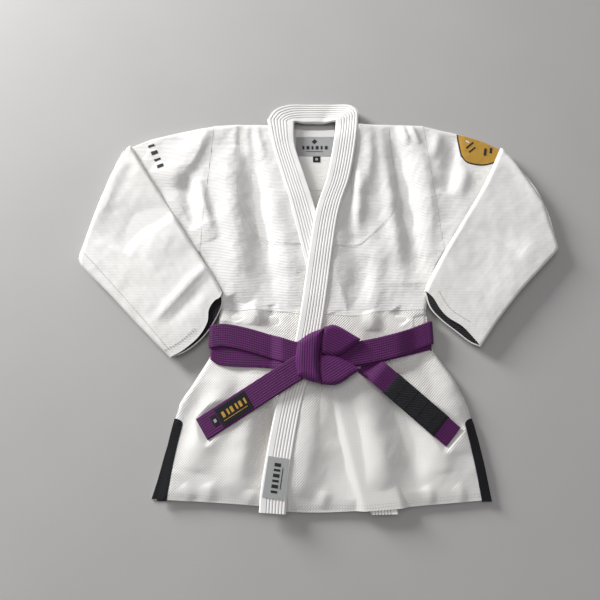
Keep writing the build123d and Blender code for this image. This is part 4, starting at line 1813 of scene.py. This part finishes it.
@dataclass
class Trims:
    """Tapes, labels, badge and stitch lines.

    Attributes:
        pitch: distance from stitch to stitch.
        stitch: length of a stitch.
        thread: width of the thread.
        lapel_top: top of the over lapel.
        back_top: height of the trims inside the back.
    """

    finishes: Finishes
    right_sleeve: Sleeve
    left_sleeve: Sleeve
    pitch: float = 4.4
    stitch: float = 3.0
    thread: float = 0.9
    lapel_top: float = 24.3
    back_top: float = 3.2

    def level(self, surface: Surface, x: Grid, y: Grid) -> Grid:
        """Height of a surface's top.

        Args:
            surface: the surface.
            x: x of the points.
            y: y of the points.

        Returns:
            The height at each point.
        """
        if surface is Surface.OVER_LAPEL:
            return np.full(x.shape, self.lapel_top)
        if surface is Surface.BACK:
            return np.full(x.shape, self.back_top)
        if surface is Surface.RIGHT_FOREARM:
            middle = self.right_sleeve.forearm_top(x, y)
        elif surface is Surface.LEFT_FOREARM:
            middle = self.left_sleeve.forearm_top(x, y)
        else:
            middle = Lay.front(x, y, surface is Surface.OVER_FRONT)
        return middle + CLOTH / 2

    def patch(
        self, name: str, sides: Sides, surface: Surface, thick: float, material: Material,
        size: tuple[int, int] = (24, 24), lift: float = 0.0,
    ) -> Piece:
        """Thin piece that follows a surface.

        Args:
            name: name of the piece.
            sides: lower, right, upper and left edge.
            surface: what it is sewn on.
            thick: its thickness.
            material: its finish.
            size: rows and columns.
            lift: extra height.

        Returns:
            The piece, not yet fastened.
        """
        plan = coons(*sides, *size, 0.3)
        z = self.level(surface, plan[..., 0], plan[..., 1]) + lift
        return Ply.between(
            name, with_height(plan, z + thick), with_height(plan, z - 0.35), material, flat=plan
        )

    def plate(
        self, name: str, centre: tuple[float, float], width: float, height: float, turn: float,
        surface: Surface, thick: float, material: Material, lift: float = 0.0,
    ) -> Piece:
        """Rectangular piece that follows a surface.

        Args:
            name: name of the piece.
            centre: its middle.
            width: its width.
            height: its height.
            turn: its turn in degrees.
            surface: what it is sewn on.
            thick: its thickness.
            material: its finish.
            lift: extra height.

        Returns:
            The piece, not yet fastened.
        """
        c, s = math.cos(math.radians(turn)), math.sin(math.radians(turn))
        corners = []
        for a, b in ((-1, -1), (1, -1), (1, 1), (-1, 1)):
            dx, dy = a * width / 2, b * height / 2
            corners.append((centre[0] + dx * c - dy * s, centre[1] + dx * s + dy * c))
        sw, se, ne, nw = corners
        return self.patch(
            name, ((sw, se), (se, ne), (nw, ne), (sw, nw)), surface, thick, material, (10, 10), lift
        )

    def marks(
        self, rows: list[
            tuple
        ], surface: Surface, thick: float, material: Material, slot: str, lift: float = 0.0
    ) -> None:
        """Rectangular pieces of one finish, fastened to the jacket.

        Args:
            rows: name, middle, width, height and turn of each, then the CAD nodes it stands for.
            surface: what they are sewn on.
            thick: their thickness.
            material: their finish.
            slot: their material slot.
            lift: extra height.
        """
        for name, centre, width, height, turn, *nodes in rows:
            piece = self.plate(name, centre, width, height, turn, surface, thick, material, lift)
            settle(piece, Body.JACKET, slot, *nodes)

    def stitches(self, name: str, lines: tuple[Points, ...], surface: Surface, body: Body) -> Piece:
        """Rows of thread stitches, in the darker seam grey that is painted shade along the stitch line.

        Args:
            name: name of the piece.
            lines: courses of the rows.
            surface: what they are sewn on.
            body: body they ride on.

        Returns:
            The piece.
        """
        rings = []
        for line in lines:
            total = np.linalg.norm(np.diff(smooth_line(line, 60), axis=0), axis=1).sum()
            path = smooth_line(line, max(3, int(total / self.pitch)))
            way = np.gradient(path, axis=0)
            way /= np.linalg.norm(way, axis=1, keepdims=True)
            side = np.stack([-way[:, 1], way[:, 0]], axis=1) * self.thread / 2
            half = way * self.stitch / 2
            ring = [path - half, path - half * 0.5 - side, path + half * 0.5 - side]
            ring += [path + half, path + half * 0.5 + side, path - half * 0.5 + side]
            rings.append(np.stack(ring, axis=1))
        plan = np.concatenate(rings)
        z = self.level(surface, plan[..., 0], plan[..., 1])
        rise = np.array([0.1, 0.42, 0.42, 0.1, 0.42, 0.42])
        verts = np.concatenate(
            [with_height(plan, z + rise), with_height(plan, z - 0.5)], axis=1
        ).reshape(-1, 3)
        faces = []
        for first in range(0, len(verts), 12):
            faces.append([first + k for k in range(6)])
            faces.append([first + 6 + k for k in range(6)][::-1])
            faces += [
                [first + (k + 1) % 6, first + k, first + 6 + k, first + 6 + (k + 1) % 6] for k in range(6)
            ]
        mesh = bpy.data.meshes.new(name)
        mesh.from_pydata((verts * MM).tolist(), [], faces)
        layer = mesh.uv_layers.new(name="flat")
        where = np.array([mesh.vertices[loop.vertex_index].co[:2] for loop in mesh.loops])
        layer.data.foreach_set("uv", where.ravel())
        mesh.materials.append(self.finishes.seam)
        piece = bpy.data.objects.new(name, mesh)
        bpy.context.scene.collection.objects.link(piece)
        return settle(piece, body, "body_cloth")

    def seam(self, name: str, line: Points, surface: Surface, body: Body, width: float) -> Piece:
        """Sewn seam shown as a thin raised welt, its darker grey painted shade of the seam groove.

        Args:
            name: name of the piece.
            line: course of the seam.
            surface: what it lies on.
            body: body it rides on.
            width: its width.

        Returns:
            The piece.
        """
        path = smooth_line(line, 160)
        way = np.gradient(path, axis=0)
        way /= np.linalg.norm(way, axis=1, keepdims=True)
        side = np.stack([-way[:, 1], way[:, 0]], axis=1)
        share = np.array([-0.5, -0.25, 0.0, 0.25, 0.5]) * width
        plan = path[:, None] + side[:, None] * share[None, :, None]
        z = self.level(surface, plan[..., 0], plan[..., 1])
        top, low = with_height(
            plan, z + 0.32 * (1 - (2 * share / width) ** 2)[None]
        ), with_height(plan, z - 0.5)
        piece = Ply.between(name, top[:, ::-1], low[:, ::-1], self.finishes.seam, flat=plan[:, ::-1])
        return settle(piece, body, "body_cloth")

    def vents(self) -> None:
        """Black tapes along the edges of both side vents."""
        cases = (
            ("right_front_vent", Surface.UNDER_FRONT, ((-260.2, -241), (-271.3, -300), (-280.8, -376)), 17.0),
            ("left_front_vent", Surface.OVER_FRONT, ((266.2, -241), (277.3, -300), (287.6, -377)), -17.0),
            ("right_back_vent", Surface.BACK, ((-264, -262), (-274, -300), (-283, -340), (-292, -374)), 15.0),
            ("left_back_vent", Surface.BACK, ((262, -262), (272, -300), (280, -340), (286, -374)), -13.0),
        )
        for name, surface, line, inward in cases:
            edge = smooth_line(line, 60)
            share = np.linspace(0, 1, 9)
            top_round = rounded(np.linspace(0, 1, 60) * 130 + 0.4, 11.0)
            plan = edge[:, None] + np.stack(
                [share * inward, 0 * share], axis=1
            )[None] * top_round[:, None, None]
            if surface is Surface.BACK:
                z = np.full(plan.shape[:2], 2.45)
            else:
                z = self.level(surface, plan[..., 0], plan[..., 1]) + 0.35
            thick = 0.9 * (0.4 + 0.6 * rounded(np.minimum(share, 1 - share) * abs(inward), 1.5))[None]
            flip = slice(None, None, -1 if inward > 0 else 1)
            grid = with_height(plan, z)[:, flip]
            piece = Ply.make(
                name + "_binding", grid, np.broadcast_to(thick, grid.shape[:2]), self.finishes.black
            )
            settle(piece, Body.JACKET, "black_cotton", name + "_tape")

    def neck(self) -> None:
        """Neck tape, label and size tab inside the back."""
        tape = self.plate("neck_tape_cloth", (0, 331), 150, 14, 0, Surface.BACK, 0.9, self.finishes.tape)
        settle(tape, Body.JACKET, "body_cloth", "neck_tape")
        back, black = Surface.BACK, "black_cotton"
        rows = [("neck_label_cloth", (-8, 301.5), 76, 43, 0, "neck_label")]
        self.marks(rows, back, 0.7, self.finishes.grey, "grey_label")
        rows = [("neck_size_tab_cloth", (-4, 272.5), 15, 13, 0, "neck_size_tab")]
        self.marks(rows, back, 0.7, self.finishes.black, black)
        rows = [(f"neck_label_bar_{i}", (-31 + 9.4 * i, 299), 6.2 if i % 2 else 4.2, 8, 0) for i in range(6)]
        rows += [("neck_label_dot", (-8, 313), 9, 8, 45), ("neck_label_line", (-8, 290), 34, 1.2, 0)]
        self.marks(rows, back, 0.3, self.finishes.ink, black, 0.7)
        self.marks([("neck_tab_mark", (-4, 272.5), 5, 5, 0)], back, 0.3, self.finishes.grey, black, 0.7)

    def lapel_label(self) -> None:
        """Woven label at the foot of the over lapel."""
        turn, centre, lapel = -8.0, np.array((-78.5, -337.0)), Surface.OVER_LAPEL
        rows = [("lapel_label_cloth", centre, 36, 66, turn, "lapel_label")]
        self.marks(rows, lapel, 0.7, self.finishes.grey, "grey_label")
        along = np.array([-math.sin(math.radians(turn)), math.cos(math.radians(turn))])
        rows = []
        for i in range(6):
            place = centre + along * (-22 + 8.6 * i)
            rows.append((f"lapel_label_bar_{i}", place, 11, 5.6 if i % 2 else 3.8, turn))
        rows.append(("lapel_label_rule", centre + np.array([along[1], -along[0]]) * 9.5, 1.2, 34, turn))
        self.marks(rows, lapel, 0.3, self.finishes.ink, "black_cotton", 0.7)

    def badge(self) -> None:
        """Shield badge by the left shoulder fold and bars on the right sleeve."""

        def shield(g: float) -> Sides:
            """Sides of the shield, grown by a margin.

            Args:
                g: the margin.

            Returns:
                The four sides.
            """
            south = (
                (291 - g, 276 - g * 0.6), (300, 262 - g), (328, 256 - g), (352, 261 - g),
                (371 + g * 0.6, 275 - g * 0.6),
            )
            north = ((286 - g, 323 + g * 0.4), (330, 310 + g * 0.4), (376 + g * 0.5, 286 + g * 0.3))
            return south, (south[-1], north[-1]), north, (south[0], north[0])

        border = self.patch(
            "badge_border", shield(2.6), Surface.UNDER_FRONT, 0.55, self.finishes.ink, (40, 50)
        )
        settle(border, Body.JACKET, "black_cotton", "shoulder_badge_border")
        face = self.patch("badge_face", shield(0), Surface.UNDER_FRONT, 1.0, self.finishes.gold, (40, 50))
        settle(face, Body.JACKET, "gold_thread", "shoulder_badge")
        ink, front, black = self.finishes.ink, Surface.UNDER_FRONT, "black_cotton"
        shapes = (
            ((308, 298), 20, 3.2, 40, ink),
            ((312, 288), 18, 3.2, 40, ink),
            ((304, 306), 8, 3.2, -40, self.finishes.tape),
            ((338, 283), 5, 16, -12, ink),
            ((350, 286), 5, 12, -12, ink),
        )
        for index, (*shape, finish) in enumerate(shapes, 1):
            self.marks([(f"badge_mark_{index}", *shape)], front, 0.4, finish, black, 1.0)
        for i in range(4):
            place, nodes = (-341 + 7.4 * i, 297 - 15.4 * i), ("sleeve_marks",) if i == 0 else ()
            self.marks(
                [(f"sleeve_bar_{i}", place, 13, 7.5 if i % 2 else 4.5, 22, *nodes)], front, 0.7, ink, black
            )

    def lines(self) -> None:
        """Seams and stitch rows of the fronts and sleeves."""
        under, over, jacket = Surface.UNDER_FRONT, Surface.OVER_FRONT, Body.JACKET
        forearm = Surface.RIGHT_FOREARM
        left_waist = ((10, -55.2), (30, -56), (60, -58), (84, -55), (118, -47), (198, -44.6))
        underarm = ((-456, 72), (-384, -2), (-316, -74), (-278, -116))
        seams = (
            ("right_waist", ((-188, -44.6), (-100, -46.5), (-42, -51.5)), under, jacket, 1.3),
            ("left_waist", left_waist, over, jacket, 1.3),
            ("right_armhole", ((-215, 345), (-224, 200), (-231, 68)), under, jacket, 1.0),
            ("left_armhole", ((216, 345), (228, 200), (240, 68)), over, jacket, 1.0),
            ("right_underarm", underarm, forearm, Body.RIGHT_FOREARM, 1.2),
        )
        for name, line, surface, body, width in seams:
            self.seam(f"{name}_seam", line, surface, body, width)
        right_hem = ((-272, -362), (-156, -371), (-98, -377))
        left_hem = ((-52, -384), (60, -382), (130, -376), (276, -364))
        right_chest = (
            ((-160, 338), (-161, 190), (-126, 108), (-86, 85), (-24, 83)),
            ((-156, 338), (-157, 192), (-123, 112), (-86, 89), (-24, 87)),
        )
        left_chest = (
            ((146, 338), (154, 200), (143, 148), (106, 106), (70, 80), (30, 80)),
            ((142, 338), (150, 202), (139, 151), (103, 110), (70, 84), (30, 84)),
        )
        right_cuff = moved(self.right_sleeve.cuff_top[5:], -9, 14)
        left_cuff = moved(self.left_sleeve.cuff_top[1:-1], 9, 12)
        rows = (
            ("right_hem", (right_hem, moved(right_hem, 0, -4)), under, jacket),
            ("left_hem", (left_hem, moved(left_hem, 0, -4)), over, jacket),
            ("right_chest", right_chest, under, jacket),
            ("left_chest", left_chest, over, jacket),
            ("right_vent", (((-246, -252), (-256, -310), (-264, -362)),), under, jacket),
            ("left_vent", (((250, -252), (260, -310), (270, -362)),), over, jacket),
            ("right_cuff", (right_cuff,), Surface.RIGHT_FOREARM, Body.RIGHT_FOREARM),
            ("left_cuff", (left_cuff,), Surface.LEFT_FOREARM, Body.LEFT_FOREARM),
        )
        for name, *row in rows:
            self.stitches(f"{name}_stitches", *row)

    def build(self) -> None:
        """Make every trim."""
        self.vents()
        self.neck()
        self.lapel_label()
        self.badge()
        self.lines()


# ---------------------------------------------------------------- studio


@dataclass
class Studio:
    """Floor, lights and camera.

    Attributes:
        floor_size: side of the floor in metres.
        lens: focal length in millimetres.
    """

    floor_size: float = 12.0
    lens: float = 27.0

    def floor(self) -> Piece:
        """Pale, plain floor."""
        bpy.ops.object.select_all(action="DESELECT")
        bpy.ops.mesh.primitive_plane_add(size=self.floor_size, location=(0, 0, -0.0006))
        plane = bpy.context.active_object
        plane.name = "studio_floor"
        tree = NodeTree("pale_floor")
        tone = tree.mix(tree.cloudy(5.0, 3.0), (0.40, 0.385, 0.365), (0.44, 0.425, 0.40))
        tree.link(tone, tree.shader.inputs["Base Color"])
        tree.shader.inputs["Roughness"].default_value = 0.9
        plane.data.materials.append(tree.material)
        return plane

    def light(self, name: str, place: Place, aim: Place, size: float, power: float, tint: Colour) -> None:
        """Soft square light.

        Args:
            name: name of the light.
            place: where it hangs.
            aim: where it points.
            size: its side.
            power: its power in watts.
            tint: its colour.
        """
        data = bpy.data.lights.new(name, "AREA")
        data.size = size
        data.energy = power
        data.color = tint
        lamp = bpy.data.objects.new(name, data)
        lamp.location = place
        lamp.rotation_euler = (Vector(aim) - Vector(place)).to_track_quat("-Z", "Y").to_euler()
        bpy.context.scene.collection.objects.link(lamp)

    def camera(self) -> None:
        """Camera above the front of the uniform, tilted a little."""
        data = bpy.data.cameras.new("camera")
        data.lens = self.lens
        data.sensor_width = 36.0
        data.clip_start = 0.01
        eye = bpy.data.objects.new("camera", data)
        eye.location = (-0.038, -0.2255, 0.8307)
        aim = Vector((-0.038, -0.023, 0.0))
        eye.rotation_euler = (aim - eye.location).to_track_quat("-Z", "Y").to_euler()
        bpy.context.scene.collection.objects.link(eye)
        bpy.context.scene.camera = eye

    def world(self) -> None:
        """Even, faint light from all round."""
        world = bpy.data.worlds.new("studio")
        world.use_nodes = True
        back = world.node_tree.nodes["Background"]
        back.inputs[0].default_value = (0.86, 0.89, 1.0, 1.0)
        back.inputs[1].default_value = 0.30
        bpy.context.scene.world = world
        bpy.context.scene.view_settings.view_transform = "Standard"

    def build(self) -> None:
        """Set the stage."""
        self.floor()
        self.world()
        self.light("window", (-2.6, 2.1, 1.15), (0, 0, 0), 1.1, 208, (0.95, 0.97, 1.0))
        self.light("ceiling", (-0.3, 0.4, 2.2), (0, 0, 0), 1.4, 13, (1.0, 0.96, 0.92))
        self.camera()


def main() -> None:
    """Build the uniform piece by piece."""
    logging.basicConfig(level=logging.INFO, format="%(name)s: %(message)s")
    finishes = Finishes()
    Studio().build()
    back = BodyBack(finishes)
    for made in (back.upper_back(), back.skirt(), back.neck_patch()):
        LOG.info("made %s", made.name)
    fronts = Fronts(finishes)
    for made in (*fronts.build(), *fronts.chest_patches(), *Collar(finishes).build()):
        LOG.info("made %s", made.name)
    right, left = sleeves(finishes)
    for made in (*right.build(), *left.build(), *Belt(finishes).build()):
        LOG.info("made %s", made.name)
    Trims(finishes, right, left).build()
    bpy.context.view_layer.update()


if __name__ == "__main__":
    main()
